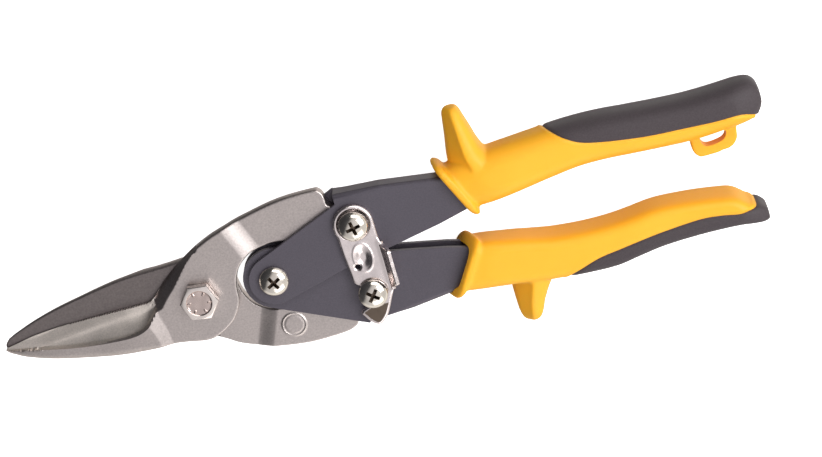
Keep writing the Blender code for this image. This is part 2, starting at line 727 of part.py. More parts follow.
def flat_backed(half_y, half_z):
    """A grip's section: a rounded square whose front and back are truly flat."""
    full = superellipse(half_y, 1.03 * half_z, SECTION_POWER, SECTION_POINTS)
    return [(y, max(-half_z, min(half_z, z))) for y, z in full]


def grip_ring(station, stations, lean, inset, shorten):
    x, inner, outer = station
    end_share = min(1.0, max(0.0, (stations[-1][0] - x) / END_ROUNDING))
    half_z = GRIP_HALF_Z - END_DROP * (1 - end_share) ** 2 - inset
    slope = lean * max(0.0, 1 - (x - stations[0][0]) / COLLAR_BLEND)
    middle = (inner + outer) / 2
    section = flat_backed((outer - inner) / 2 - inset, half_z)
    return [(x - shorten + slope * y, middle + y, z) for y, z in section]


def grip_body(stations, lean, inset=0.0):
    """The handle-shaped loft, or the same loft shrunk by an inset."""
    kept = [s for s in stations if s[2] - s[1] > 2 * inset + SKIN_TRIM or not inset]
    rings = []
    for station in kept:
        shorten = inset if station is kept[-1] else 0.0
        rings.append(grip_ring(station, stations, lean, inset, shorten))
    return skinned(rings)


def horn_body(sections):
    """A guard horn rising out of the grip, thinning towards its tip."""
    rings = []
    for y, x_from, x_to, half_z in sections:
        middle = (x_from + x_to) / 2
        ring = superellipse((x_to - x_from) / 2, half_z, 2.5, 20)
        rings.append([(middle + a, y, z) for a, z in ring])
    return skinned(rings)


def collar_body(x0, inner, outer, lean):
    rings = []
    middle = (inner + outer) / 2
    for shift, growth in COLLAR_RINGS:
        section = flat_backed((outer - inner) / 2 + growth, GRIP_HALF_Z)
        rings.append([(x0 + shift + lean * y, middle + y, z) for y, z in section])
    return skinned(rings)


def pad_region(form, clearance):
    """Everything on the outer side of the pad's edge line."""
    line = [(x, y + clearance) for x, y in form["pad_edge"]]
    made = sheet(line + [(210.0, 10.0), (210.0, 45.0), (line[0][0], 45.0)], -15, 15)
    for vert in made.verts:
        vert.co.x += form["pad_slant"] * vert.co.z
    return made


def tail_pocket():
    """Room for the channel's walls and web inside the grip."""
    low = INNER_WALL_Z[0] - GAP
    high = OUTER_WALL_Z[1] + GAP
    top = [(70.0, 22.2)] + [(x, y + GAP) for x, y in WEB_TOP[2:-1]]
    top += [(TAIL_END_X + GAP, WEB_TOP[-1][1] + GAP)]
    foot = [(TAIL_END_X + GAP, CHANNEL_MOUTH[-1][1] - GAP)]
    foot += [(x, y - 1.5 * GAP) for x, y in reversed(CHANNEL_MOUTH[2:-1])] + [(70.0, 1.6)]
    return sheet(top + foot, low, high)


def hang_loop():
    """A short bar bridging two posts under the upper grip's heel."""
    corners = [(165.9, 13.6, 0), (165.9, 5.4, 1.4), (168.4, 2.9, 1.4), (178.0, 3.8, 1.8)]
    corners += [(181.0, 6.6, 1.4), (181.6, 13.6, 0)]
    return sheet(filleted(corners, steps=3), -2.6, 2.6)


def loop_hole():
    corners = [(169.0, 10.0, 0.8), (169.2, 7.0, 1.2), (171.2, 6.2, 1.0), (175.8, 6.7, 1.2)]
    corners += [(177.4, 8.4, 0.8), (177.6, 10.1, 0.5)]
    return sheet(filleted(corners, steps=3), -4, 4)


def grip(prefix, body, turn, form, with_loop):
    lean = form["rim"][-1]
    stations = form["stations"]
    pad = part(prefix + "_pad", turned_over(grip_body(stations, lean), turn), body, DARK_PAD)
    boolean(pad, turned_over(pad_region(form, GAP), turn), body, "INTERSECT")
    boolean(pad, turned_over(grip_body(stations, lean, PAD_SKIN), turn), body, "DIFFERENCE")
    settle(pad)
    shade(pad)

    recess = solid(prefix + "_recess", turned_over(pad_region(form, 0.0), turn), body, CUTTERS)
    boolean(recess, turned_over(grip_body(stations, lean, PAD_SKIN + GAP), turn), body, "DIFFERENCE")
    shell = part(prefix + "_shell", turned_over(grip_body(stations, lean), turn), body, YELLOW_GRIP)
    cut = shell.modifiers.new("recess", "BOOLEAN")
    cut.object = recess
    cut.operation = "DIFFERENCE"
    cut.solver = "EXACT"
    boolean(shell, turned_over(horn_body(form["horn"]), turn), body, "UNION")
    boolean(shell, turned_over(collar_body(*form["rim"]), turn), body, "UNION")
    if with_loop:
        boolean(shell, turned_over(hang_loop(), turn), body, "UNION")
        boolean(shell, turned_over(loop_hole(), turn), body, "DIFFERENCE")
    boolean(shell, turned_over(tail_pocket(), turn), body, "DIFFERENCE")
    settle(shell)
    shade(shell)


# ---------------------------------------------------------------- the tool

clear_scene()
PARTS = new_collection("aviation_snips")
CUTTERS = new_collection("cutters")
EMPTIES = body_empties(PARTS)

OPEN_HOLE_R = SCREW_R + OPEN_PIVOT_PLAY
RUNNING_HOLE_R = SCREW_R + RUNNING
blade("front_blade", UPRIGHT, FRONT_EDGE, FRONT_JAW_BACK, FRONT_TANG_BACK, FRONT_HEEL, OPEN_HOLE_R)
blade("rear_blade", HALF_TURN, REAR_EDGE, REAR_JAW_BACK, REAR_TANG_BACK, REAR_HEEL, RUNNING_HOLE_R)
channel("upper_handle_channel", "upper_handle", UPRIGHT)
channel("lower_handle_channel", "lower_handle", HALF_TURN)

pivot_bolt()
locknut()
NUT_FACE_Z = -OUTER_WALL_Z[1] - GAP
UPPER_NUT_FACE_Z = INNER_WALL_Z[0] - GAP
HEAD_OVER_LATCH_Z = LATCH_Z[1] + GAP
pan_screw("handle_pivot_screw", "lower_handle", HANDLE_PIVOT, OUTER_WALL_Z[1] + GAP, NUT_FACE_Z - NUT_H, 0.5)
UPPER_HEAD_Z = HEAD_OVER_LATCH_Z + 0.9
UPPER_TIP_Z = UPPER_NUT_FACE_Z - NUT_H
pan_screw("upper_tang_screw", "upper_handle", UPPER_TANG_PIVOT, UPPER_HEAD_Z, UPPER_TIP_Z, 0.2)
pan_screw("lower_tang_screw", "lower_handle", LOWER_TANG_PIVOT, HEAD_OVER_LATCH_Z, NUT_FACE_Z - NUT_H, 0.9)
hex_nut("handle_pivot_nut", "lower_handle", HANDLE_PIVOT, NUT_FACE_Z)
hex_nut("upper_tang_nut", "upper_handle", UPPER_TANG_PIVOT, UPPER_NUT_FACE_Z)
hex_nut("lower_tang_nut", "lower_handle", LOWER_TANG_PIVOT, NUT_FACE_Z)

latch_plate()
sleeve = tube(LOWER_TANG_PIVOT, CATCH_R, SCREW_R + RUNNING, OUTER_WALL_Z[0] + 0.1, HEAD_OVER_LATCH_Z - 0.15)
shade(part("latch_catch_sleeve", sleeve, "lower_handle", PLATED_STEEL))
washer = tube(UPPER_TANG_PIVOT, 4.6, SCREW_R + RUNNING, HEAD_OVER_LATCH_Z - 0.1, HEAD_OVER_LATCH_Z + 0.7)
shade(part("latch_wave_washer", washer, "upper_handle", SPRING_STEEL))
bush = tube(HANDLE_PIVOT, BUSH_R, SCREW_R + RUNNING, -BUSH_HALF_H, BUSH_HALF_H)
shade(part("spring_bush", bush, "lower_handle", SPRING_STEEL))
shade(part("handle_spring", wire_coil(), "lower_handle", SPRING_STEEL))

grip("upper_grip", "upper_handle", UPRIGHT, UPPER_GRIP, True)
grip("lower_grip", "lower_handle", HALF_TURN, LOWER_GRIP, False)
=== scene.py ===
import json
import math

import bmesh
import bpy
import numpy as np
from mathutils import Matrix, Vector
from mathutils.geometry import delaunay_2d_cdt


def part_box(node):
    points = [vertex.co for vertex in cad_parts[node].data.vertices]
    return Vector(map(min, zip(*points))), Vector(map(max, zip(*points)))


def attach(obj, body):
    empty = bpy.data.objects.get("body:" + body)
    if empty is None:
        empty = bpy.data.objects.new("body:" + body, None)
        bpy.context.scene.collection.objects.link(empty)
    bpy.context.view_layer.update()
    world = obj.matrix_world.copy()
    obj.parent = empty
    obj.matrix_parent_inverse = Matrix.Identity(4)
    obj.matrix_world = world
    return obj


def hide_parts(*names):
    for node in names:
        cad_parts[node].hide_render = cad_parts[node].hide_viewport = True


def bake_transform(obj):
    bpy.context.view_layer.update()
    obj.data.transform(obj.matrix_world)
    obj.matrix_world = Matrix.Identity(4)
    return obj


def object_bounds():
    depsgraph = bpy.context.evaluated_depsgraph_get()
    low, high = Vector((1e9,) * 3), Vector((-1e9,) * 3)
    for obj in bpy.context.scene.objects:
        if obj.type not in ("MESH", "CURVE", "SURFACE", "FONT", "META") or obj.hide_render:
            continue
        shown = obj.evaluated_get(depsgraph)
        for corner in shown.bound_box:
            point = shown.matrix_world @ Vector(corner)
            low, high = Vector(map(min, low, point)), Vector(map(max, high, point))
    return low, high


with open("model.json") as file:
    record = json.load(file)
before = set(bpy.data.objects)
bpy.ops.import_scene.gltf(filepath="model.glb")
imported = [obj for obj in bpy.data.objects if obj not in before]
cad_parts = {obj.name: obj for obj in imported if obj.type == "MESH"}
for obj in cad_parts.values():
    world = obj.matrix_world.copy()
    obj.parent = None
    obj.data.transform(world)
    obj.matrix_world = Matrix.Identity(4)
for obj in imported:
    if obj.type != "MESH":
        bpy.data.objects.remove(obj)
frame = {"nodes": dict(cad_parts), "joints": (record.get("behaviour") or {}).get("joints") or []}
CAD_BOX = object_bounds()

# Lengths are drawing millimetres, as the CAD uses them: zero at the main bolt's axis in the plane
# where the blades meet, x towards the grips, y towards the upper handle, z towards the latch.
MM = 0.001
JOINTS = {joint["name"]: Vector(joint["pos_m"]) for joint in frame["joints"]}
ZERO = JOINTS["main_pivot"]
BACK_Z = (CAD_BOX[0][2] - ZERO.z) / MM


def drawn(joint):
    """A joint's place in the drawing."""
    place = (JOINTS[joint] - ZERO) / MM
    return (place.x, place.y)


HANDLE_PIVOT = drawn("handle_pivot")
UPPER_TANG = drawn("latch_pivot")
LOWER_TANG = drawn("rear_blade_pivot")
UPRIGHT = np.array([1.0, 1.0, 1.0])
TURNED = np.array([1.0, -1.0, -1.0])  # half round the x axis


# ---------------- curves and fields


def smooth(points, per_span=8, closed=False):
    """A Catmull-Rom curve through the points."""
    p = np.array(points, float)
    if closed:
        p = np.vstack([p[-1], p, p[0], p[1]])
    else:
        p = np.vstack([2 * p[0] - p[1], p, 2 * p[-1] - p[-2]])
    t = np.linspace(0, 1, per_span, endpoint=False)[:, None]
    out = []
    for a, b, c, d in zip(p, p[1:], p[2:], p[3:]):
        out.append(
            0.5 * (2 * b + (c - a) * t + (2 * a - 5 * b + 4 * c - d) * t**2 + (3 * b - a - 3 * c + d) * t**3)
        )
    if not closed:
        out.append(p[-2][None])
    return np.vstack(out)


def arc(centre, radius, start, end, steps):
    """Points on an arc between two angles in degrees."""
    turn = np.radians(np.linspace(start, end, steps + 1))
    return np.column_stack([centre[0] + radius * np.cos(turn), centre[1] + radius * np.sin(turn)])


def resampled(line, spacing, closed=True):
    """The same line with evenly spaced points."""
    line = np.vstack([line, line[:1]]) if closed else np.asarray(line, float)
    run = np.concatenate([[0], np.cumsum(np.linalg.norm(np.diff(line, axis=0), axis=1))])
    count = max(8, int(round(run[-1] / spacing)))
    at = np.linspace(0, run[-1], count, endpoint=not closed)
    return np.column_stack([np.interp(at, run, line[:, 0]), np.interp(at, run, line[:, 1])])


def distance(x, y, line, closed=False):
    """How far points are from a polyline."""
    line = np.vstack([line, line[:1]]) if closed else np.asarray(line, float)
    best = np.full(x.shape, 1e9)
    for (ax, ay), (bx, by) in zip(line, line[1:]):
        dx, dy = bx - ax, by - ay
        span = dx * dx + dy * dy
        if span < 1e-12:
            continue
        t = np.clip(((x - ax) * dx + (y - ay) * dy) / span, 0, 1)
        best = np.minimum(best, (x - ax - t * dx) ** 2 + (y - ay - t * dy) ** 2)
    return np.sqrt(best)


def inside(x, y, outline):
    """Which points are inside an outline."""
    found = np.zeros(x.shape, bool)
    ends = np.roll(outline, -1, axis=0)
    for (ax, ay), (bx, by) in zip(outline, ends):
        if ay == by:
            continue
        crosses = (ay > y) != (by > y)
        found ^= crosses & (x < ax + (y - ay) * (bx - ax) / (by - ay))
    return found


def step(low, high, value):
    """Rises smoothly from 0 to 1 between two limits."""
    t = np.clip((value - low) / (high - low), 0, 1)
    return t * t * (3 - 2 * t)


def rounding(d, radius):
    """How far a surface drops towards an edge rounded to this radius."""
    r = np.maximum(radius, 1e-6)
    inner = np.clip(r - d, 0, r)
    return r - np.sqrt(np.maximum(r * r - inner * inner, 0))


def ripple(x, y, scale, seed):
    """A small smooth unevenness, between about -1 and 1."""
    rng = np.random.default_rng(seed)
    total = np.zeros(x.shape)
    for _ in range(7):
        a, b, c = rng.uniform(-1, 1), rng.uniform(-1, 1), rng.uniform(0, 6.28)
        total += np.sin((a * x + b * y) / scale * 2 + c)
    return total / 4


# ---------------- objects


def linked(name, data):
    """A new object in the scene."""
    obj = bpy.data.objects.new(name, data)
    bpy.context.scene.collection.objects.link(obj)
    return obj


def z_limits(node):
    """A CAD node's lowest and highest z in the drawing."""
    low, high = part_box(node)
    return (low.z - ZERO.z) / MM, (high.z - ZERO.z) / MM


def face_centres(obj, side=UPRIGHT):
    return np.array([(face.center - ZERO) / MM for face in obj.data.polygons]) * side


def add(name, points, faces, side=UPRIGHT, angle=30.0):
    """A mesh piece from drawing millimetres, smooth apart from edges over an angle."""
    mesh = bpy.data.meshes.new(name)
    placed = np.asarray(points, float) * side * MM + np.array(ZERO)
    mesh.from_pydata(placed.tolist(), [], [list(map(int, f)) for f in faces])
    built = bmesh.new()
    built.from_mesh(mesh)
    bmesh.ops.remove_doubles(built, verts=built.verts, dist=1e-6)
    bmesh.ops.recalc_face_normals(built, faces=built.faces)
    if built.calc_volume(signed=True) < 0:
        bmesh.ops.reverse_faces(built, faces=built.faces)
    built.to_mesh(mesh)
    built.free()
    obj = linked(name, mesh)
    mesh.shade_smooth()
    mesh.set_sharp_from_angle(angle=math.radians(angle))
    return obj


RING_OFFSETS = (0.1, 0.26, 0.5)
CLEAR_OF_BORDER = 0.09
CLEAR_OF_LINE = 0.12


def relief(name, outline, holes, top, bottom, spacing, side=UPRIGHT, angle=38.0, lines=()):
    """A plate whose front and back surfaces are heights over its outline, as top(x, y) and bottom(x, y).

    Its mesh has rings of points beside each edge, a staggered grid between, and points on the lines given.
    """
    loops = [resampled(outline, spacing)] + [resampled(hole, 0.5 * spacing) for hole in holes]
    border = np.vstack(loops)
    edges = []
    rings = []
    first = 0
    for loop in loops:
        n = len(loop)
        edges += [(first + i, first + (i + 1) % n) for i in range(n)]
        first += n
        ahead = np.roll(loop, -1, axis=0) - np.roll(loop, 1, axis=0)
        normal = np.column_stack([-ahead[:, 1], ahead[:, 0]])
        normal /= np.linalg.norm(normal, axis=1)[:, None] + 1e-9
        for offset in RING_OFFSETS:
            rings += [loop + offset * normal, loop - offset * normal]
    ring = np.vstack(rings)
    kept = ring[(border_gap(ring, loops) > CLEAR_OF_BORDER) & solid_at(ring, loops)]
    low = border.min(0)
    high = border.max(0)
    gx, gy = np.meshgrid(np.arange(low[0], high[0], spacing), np.arange(low[1], high[1], 0.87 * spacing))
    gx[::2] += spacing / 2
    grid = np.column_stack([gx.ravel(), gy.ravel()])
    grid_gap = border_gap(grid, loops)
    cloud = [border]
    placed = len(border)
    for line in lines:
        fine = resampled(line, 0.6 * spacing, False)
        keep = (border_gap(fine, loops) > CLEAR_OF_LINE) & solid_at(fine, loops)
        place = np.cumsum(keep) - 1 + placed
        edges += [(place[i], place[i + 1]) for i in range(len(fine) - 1) if keep[i] and keep[i + 1]]
        cloud.append(fine[keep])
        placed += int(keep.sum())
        grid_gap = np.where(distance(grid[:, 0], grid[:, 1], line) < 0.45 * spacing, 0, grid_gap)
        kept = kept[distance(kept[:, 0], kept[:, 1], line) > CLEAR_OF_LINE]
    grid = grid[(grid_gap > RING_OFFSETS[-1] + 0.4 * spacing) & solid_at(grid, loops)]
    cloud = np.vstack(cloud + [kept, grid])
    edges = [(int(a), int(b)) for a, b in edges]
    verts, _, faces, _, _, _ = delaunay_2d_cdt([Vector(p) for p in cloud.tolist()], edges, [], 0, 1e-5)
    flat = np.array([(v.x, v.y) for v in verts])
    tris = np.array(faces)
    tris = tris[solid_at(flat[tris].mean(1), loops)]
    count = len(flat)
    points = np.vstack([np.column_stack([flat, height(flat[:, 0], flat[:, 1])]) for height in (top, bottom)])
    half_edges = dict.fromkeys(pair for a, b, c in tris for pair in ((a, b), (b, c), (c, a)))
    walls = [(a, b, b + count, a + count) for a, b in half_edges if (b, a) not in half_edges]
    faces = [tuple(t) for t in tris] + [(c + count, b + count, a + count) for a, b, c in tris] + walls
    return add(name, points, faces, side, angle)


def solid_at(points, loops):
    """Which points are inside the first loop and outside the rest."""
    found = inside(points[:, 0], points[:, 1], loops[0])
    for hole in loops[1:]:
        found &= ~inside(points[:, 0], points[:, 1], hole)
    return found


def border_gap(points, loops):
    """How far points are from the nearest loop."""
    return np.min([distance(points[:, 0], points[:, 1], loop, True) for loop in loops], axis=0)


def ring_faces(rings, count):
    """Faces between rings of this many points."""
    faces = []
    for first in range(0, (rings - 1) * count, count):
        for j in range(count):
            k = (j + 1) % count
            faces.append((first + j, first + k, first + count + k, first + count + j))
    return faces


def lofted(rings):
    """Points and faces of a closed loft through rings."""
    points = np.vstack(rings)
    count = len(rings[0])
    faces = ring_faces(len(rings), count)
    faces.append(tuple(range(count - 1, -1, -1)))
    faces.append(tuple(range(len(points) - count, len(points))))
    return points, faces


def spun(centre, profile, steps):
    """Points and faces of a turned solid from (radius, z) points, capped at both ends."""
    turn = np.linspace(0, 2 * math.pi, steps, endpoint=False)
    rings = []
    for radius, z in profile:
        ring = np.column_stack([centre[0] + radius * np.cos(turn), centre[1] + radius * np.sin(turn)])
        rings.append(np.column_stack([ring, np.full(steps, z)]))
    return lofted(rings)


def carve(obj, cutter):
    """Cuts a shape out of a piece and removes the cutter."""
    modifier = obj.modifiers.new("cut", "BOOLEAN")
    modifier.object = cutter
    modifier.operation = "DIFFERENCE"
    modifier.solver = "EXACT"
    bake(obj)
    bpy.data.objects.remove(cutter, do_unlink=True)


def bake(obj):
    """Applies an object's modifiers."""
    graph = bpy.context.evaluated_depsgraph_get()
    graph.update()
    mesh = bpy.data.meshes.new_from_object(obj.evaluated_get(graph))
    old = obj.data
    obj.modifiers.clear()
    obj.data = mesh
    bpy.data.meshes.remove(old)


def soften(obj, width):
    """Small rounded edges on a piece that the CAD already has right."""
    weld = obj.modifiers.new("weld", "WELD")
    weld.merge_threshold = 2e-6
    rounded = obj.modifiers.new("edges", "BEVEL")
    rounded.width = width * MM
    rounded.segments = 3
    rounded.limit_method = "ANGLE"
    rounded.angle_limit = math.radians(40.0)
    rounded.use_clamp_overlap = True
    rounded.miter_outer = "MITER_ARC"
    rounded.harden_normals = True


# ---------------- materials


def material(name, colour, roughness, metallic=0.0, **sockets):
    """A Principled material, with other sockets given by name."""
    made = bpy.data.materials.new(name)
    made.use_nodes = True
    shader = shader_of(made)
    shader.inputs["Base Color"].default_value = (*colour, 1.0)
    shader.inputs["Roughness"].default_value = roughness
    shader.inputs["Metallic"].default_value = metallic
    for socket, value in sockets.items():
        shader.inputs[socket.replace("_", " ")].default_value = value
    return made


def noise(made, scale, detail, rough, stretch=(1, 1, 1)):
    """An object-space noise texture's output."""
    nodes = made.node_tree.nodes
    links = made.node_tree.links
    texture = nodes.new("ShaderNodeTexNoise")
    texture.inputs["Scale"].default_value = scale
    texture.inputs["Detail"].default_value = detail
    texture.inputs["Roughness"].default_value = rough
    place = nodes.new("ShaderNodeMapping")
    place.inputs["Scale"].default_value = stretch
    where = nodes.new("ShaderNodeTexCoord")
    links.new(where.outputs["Object"], place.inputs["Vector"])
    links.new(place.outputs["Vector"], texture.inputs["Vector"])
    return texture.outputs["Fac"]


def ramp(tree, source, stops):
    """A colour ramp of (position, colour) stops on a value."""
    node = tree.nodes.new("ShaderNodeValToRGB")
    tree.links.new(source, node.inputs["Fac"])
    elements = node.color_ramp.elements
    for element, (position, colour) in zip(elements, (stops[0], stops[-1])):
        element.position = position
        element.color = (*colour, 1.0)
    for position, colour in stops[1:-1]:
        elements.new(position).color = (*colour, 1.0)
    return node.outputs["Color"]


def spread(made, source, low, high, socket):
    """Drives a shader socket from a value between two limits."""
    node = made.node_tree.nodes.new("ShaderNodeMapRange")
    node.inputs["From Min"].default_value = 0.3
    node.inputs["From Max"].default_value = 0.7
    node.inputs["To Min"].default_value = low
    node.inputs["To Max"].default_value = high
    made.node_tree.links.new(source, node.inputs["Value"])
    made.node_tree.links.new(node.outputs["Result"], shader_of(made).inputs[socket])


def shader_of(made):
    return made.node_tree.nodes["Principled BSDF"]


def tinted(made, source, stops):
    """Colours a material from a value by (position, colour) stops."""
    made.node_tree.links.new(ramp(made.node_tree, source, stops), shader_of(made).inputs["Base Color"])


def bumped(made, heights):
    """Bump from (value, strength, distance in mm) layers."""
    normal = None
    for source, strength, depth in heights:
        node = made.node_tree.nodes.new("ShaderNodeBump")
        node.inputs["Strength"].default_value = strength
        node.inputs["Distance"].default_value = depth * MM
        made.node_tree.links.new(source, node.inputs["Height"])
        if normal is not None:
            made.node_tree.links.new(normal, node.inputs["Normal"])
        normal = node.outputs["Normal"]
    made.node_tree.links.new(normal, shader_of(made).inputs["Normal"])


def mottled(made, source, colour, share):
    """Colours a material from a noise, this share darker and lighter than its own colour."""
    stops = []
    for position, change in ((0.3, -share), (0.5, 0), (0.7, share)):
        stops.append((position, tuple(min(1.0, c * (1 + change)) for c in colour)))
    tinted(made, source, stops)


def forged_steel(name, colour, roughness, grain_scale=1700, grain_strength=0.35):
    """Blasted steel: fine grain and broad cloudiness."""
    made = material(name, colour, roughness, 1.0)
    grain = noise(made, grain_scale, 3, 0.6)
    broad = noise(made, 90, 4, 0.6)
    mottled(made, grain, colour, 0.13)
    spread(made, broad, roughness - 0.06, roughness + 0.06, "Roughness")
    bumped(made, [(grain, grain_strength, 0.03), (broad, 0.2, 0.05)])
    return made


def charcoal_paint():
    """Satin paint with a fine fleck."""
    colour = (0.092, 0.083, 0.104)
    made = material("charcoal_paint", colour, 0.38, 0.45, Coat_Weight=0.10, Coat_Roughness=0.3)
    fleck = noise(made, 2600, 2, 0.5)
    broad = noise(made, 60, 4, 0.6)
    mottled(made, fleck, colour, 0.10)
    spread(made, broad, 0.34, 0.44, "Roughness")
    bumped(made, [(broad, 0.25, 0.15), (fleck, 0.12, 0.01)])
    return made


def bright_nickel(name="bright_nickel", colour=(0.80, 0.75, 0.68), roughness=0.13):
    made = material(name, colour, roughness, 1.0)
    broad = noise(made, 400, 4, 0.6)
    fine = noise(made, 3000, 2, 0.5, (1, 0.15, 1))
    mottled(made, broad, colour, 0.07)
    spread(made, broad, 0.75 * roughness, 1.35 * roughness, "Roughness")
    bumped(made, [(broad, 0.25, 0.02), (fine, 0.12, 0.004)])
    return made


def spring_steel():
    """Drawn wire, its lines along z."""
    made = material("spring_steel", (0.32, 0.30, 0.29), 0.35, 1.0)
    drawn_lines = noise(made, 900, 4, 0.6, (1, 1, 0.3))
    tinted(made, drawn_lines, [(0.3, (0.24, 0.22, 0.21)), (0.7, (0.38, 0.36, 0.34))])
    spread(made, drawn_lines, 0.28, 0.45, "Roughness")
    bumped(made, [(drawn_lines, 0.3, 0.01)])
    return made


def yellow_grip():
    made = material(
        "yellow_grip", (0.96, 0.46, 0.024), 0.45, Specular_IOR_Level=0.35,
        Subsurface_Weight=0.12, Subsurface_Radius=(1.0, 0.35, 0.05), Subsurface_Scale=2.0 * MM,
    )
    skin = noise(made, 1500, 3, 0.55)
    broad = noise(made, 35, 3, 0.5)
    tinted(made, broad, [(0.3, (0.93, 0.44, 0.022)), (0.7, (0.97, 0.48, 0.031))])
    spread(made, skin, 0.42, 0.52, "Roughness")
    bumped(made, [(skin, 0.16, 0.015)])
    return made


def dark_pad():
    colour = (0.055, 0.044, 0.050)
    made = material("dark_pad", colour, 0.62, Specular_IOR_Level=0.35, Sheen_Weight=0.12, Sheen_Roughness=0.5)
    skin = noise(made, 1900, 3, 0.6)
    broad = noise(made, 45, 3, 0.5)
    mottled(made, skin, colour, 0.14)
    spread(made, broad, 0.56, 0.70, "Roughness")
    bumped(made, [(skin, 0.35, 0.02)])
    return made


FORGED = forged_steel("forged_steel", (0.52, 0.47, 0.455), 0.38)
GROUND = forged_steel("ground_steel", (0.72, 0.66, 0.61), 0.46, 2200, 0.2)
LAPPED = forged_steel("lapped_steel", (0.205, 0.18, 0.177), 0.46, 1500, 0.3)
CHARCOAL = charcoal_paint()
NICKEL = bright_nickel()
# Dark nickel as painted shade: it darkens the inside of the screws' cross recesses and of the latch's hook
RECESS_SHADE = bright_nickel("recess", (0.16, 0.125, 0.10), 0.4)
PLATED = bright_nickel("plated_steel", (0.78, 0.71, 0.71), 0.22)
BOLT_RIM = bright_nickel("bolt_rim", (0.86, 0.79, 0.75), 0.2)
BOLT_PLATE = bright_nickel("bolt_plate", (0.60, 0.50, 0.47), 0.26)
SPRING = spring_steel()
YELLOW = yellow_grip()
PAD = dark_pad()


def piece(obj, body, look, slot, *nodes):
    """Gives a new piece its body and look, and hides the CAD nodes it stands for. The slot is not used."""
    obj.data.materials.clear()
    obj.data.materials.append(look)
    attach(obj, body)
    if nodes:
        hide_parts(*nodes)


# ---------------- blades

# The lines are (x, y) on the front blade. The rear blade takes them turned half round the x axis.
INNER_Z = 0.15
OUTER_Z = 5.0
TANG_LOW_Z = -1.1
TANG_HIGH_Z = 3.2
JOGGLE_NORMAL = (0.931, 0.365)
JOGGLE = (18.8, 26.6)
TIP_X = (CAD_BOX[0][0] - ZERO.x) / MM
FRONT_EDGE = [(TIP_X, -1.2), (-61.2, -0.1), (-56.0, 0.8), (-46.0, 1.6), (-34.0, 2.0), (-16.4, 2.2)]
REAR_EDGE = [(-67.0, 1.5), (-61.2, 1.3), (-56.0, 1.4), (-46.0, 1.6), (-34.0, 2.0), (-16.4, 2.2)]
CREASE = [
    (TIP_X, -1.5), (-57.0, -3.0), (-52.0, -3.0), (-44.2, -2.1), (-34.6, -0.7), (-26.0, 0.1), (-16.0, 0.9),
]
HOLLOW_RIM = [
    (TIP_X, -1.7), (-57.0, -3.5), (-46.3, -5.4), (-39.7, -6.3), (-31.3, -6.8), (-25.5, -6.8), (-21.8, -6.2),
    (-19.0, -4.9), (-17.0, -3.1), (-15.6, -1.6), (-14.9, -0.6),
]
FRONT_BACK = [
    (TIP_X, -1.9), (-66.3, -2.8), (-64.7, -3.7), (-60.3, -5.8), (-51.0, -8.6), (-37.8, -11.3), (-30.3, -12.4),
    (-22.0, -12.9), (-13.2, -12.6), (-8.0, -13.2), (-3.9, -14.0), (-0.3, -14.3), (3.4, -13.2),
]
REAR_BACK = [
    (-67.0, 0.8), (-66.7, -0.1), (-65.8, -1.1), (-64.1, -2.2), (-55.6, -5.2), (-47.3, -7.4), (-39.2, -9.0),
    (-32.1, -10.3), (-23.8, -11.4), (-13.2, -11.9), (-8.0, -12.1), (-3.9, -12.4), (-0.3, -12.6), (3.4, -12.2),
]
THROAT = [
    (8.4, -10.0), (11.2, -6.2), (12.3, -3.3), (12.6, 0.0), (13.4, 3.5), (15.6, 7.5), (19.5, 10.4),
    (24.2, 11.4), (29.0, 11.7), (39.0, 9.4),
]
FRONT_TANG = [
    (48.2, 19.6), (48.0, 22.9), (47.0, 24.6), (44.8, 25.3), (33.2, 25.0), (21.2, 22.7), (11.0, 20.1),
]
REAR_TANG = [
    (47.6, 19.6), (47.0, 22.6), (45.6, 23.8), (42.0, 24.8), (31.2, 25.2), (21.0, 24.0), (14.7, 22.5),
    (8.0, 19.9),
]
FOOT = [(3.5, 17.0), (-2.9, 13.2), (-9.5, 8.3), (-12.5, 5.6), (-16.4, 2.2)]
PLATE_LINE = [(-14.6, -1.2), (-13.7, -4.6), (-13.0, -8.0), (-12.6, -12.8)]
JAW_THICKNESS = [(TIP_X, 1.6), (-60.0, 2.9), (-50.0, 4.0), (-38.0, 4.8), (-26.0, 5.8), (-16.0, 6.4)]
FACET_SLOPE = 0.24
TOOTH_PITCH = 0.9
TOOTH_DEPTH = 0.42
TOOTHED = (-44.0, -17.5)
JAW_ROOT_X = -12.5
GROUND_TO_X = -15.2
GROUND_BELOW_Z = 4.6
LAPPED_TO_X = 2.0
TANG_EYE = arc(UPPER_TANG, 7.2, -125, 128, 36)
BOSS = (26.6, 17.7)
BOSS_RINGS = (2.9, 3.2, 3.5, 3.8, 4.1, 4.3)
BLADE_MESH = 0.37
PIVOT_HOLE_R = 3.2


def at(line, x):
    """A smooth line's height at x."""
    dense = smooth(line, 10)
    order = np.argsort(dense[:, 0])
    return np.interp(x, dense[order, 0], dense[order, 1])


def joggled(x, y, plate, tang, steepness=1.15):
    """Goes from the plate's height to the tang's across the joggle."""
    along = (x * JOGGLE_NORMAL[0] + y * JOGGLE_NORMAL[1] - JOGGLE[0]) / (JOGGLE[1] - JOGGLE[0])
    t = np.clip(0.5 + steepness * (along - 0.5), 0, 1)
    t = 0.7 * t + 0.3 * t * t * (3 - 2 * t)
    return plate + t * (tang - plate)


def blade_outline(back, tang, edge_line):
    """The whole outline with the cutting edge's fine teeth, and the edges below and above the tang's eye."""
    low = smooth(back + THROAT, 6)
    high = smooth(tang + FOOT[:-1], 6)
    fine = resampled(smooth(edge_line, 10)[::-1], TOOTH_PITCH / 2, False)
    toothed = (fine[:, 0] > TOOTHED[0]) & (fine[:, 0] < TOOTHED[1])
    fine[:, 1] -= np.where(toothed, TOOTH_DEPTH, 0.0) * (np.arange(len(fine)) % 2)
    return np.vstack([low[:-1], TANG_EYE, high[:-1], [FOOT[-2]], fine[:-1]]), low, high


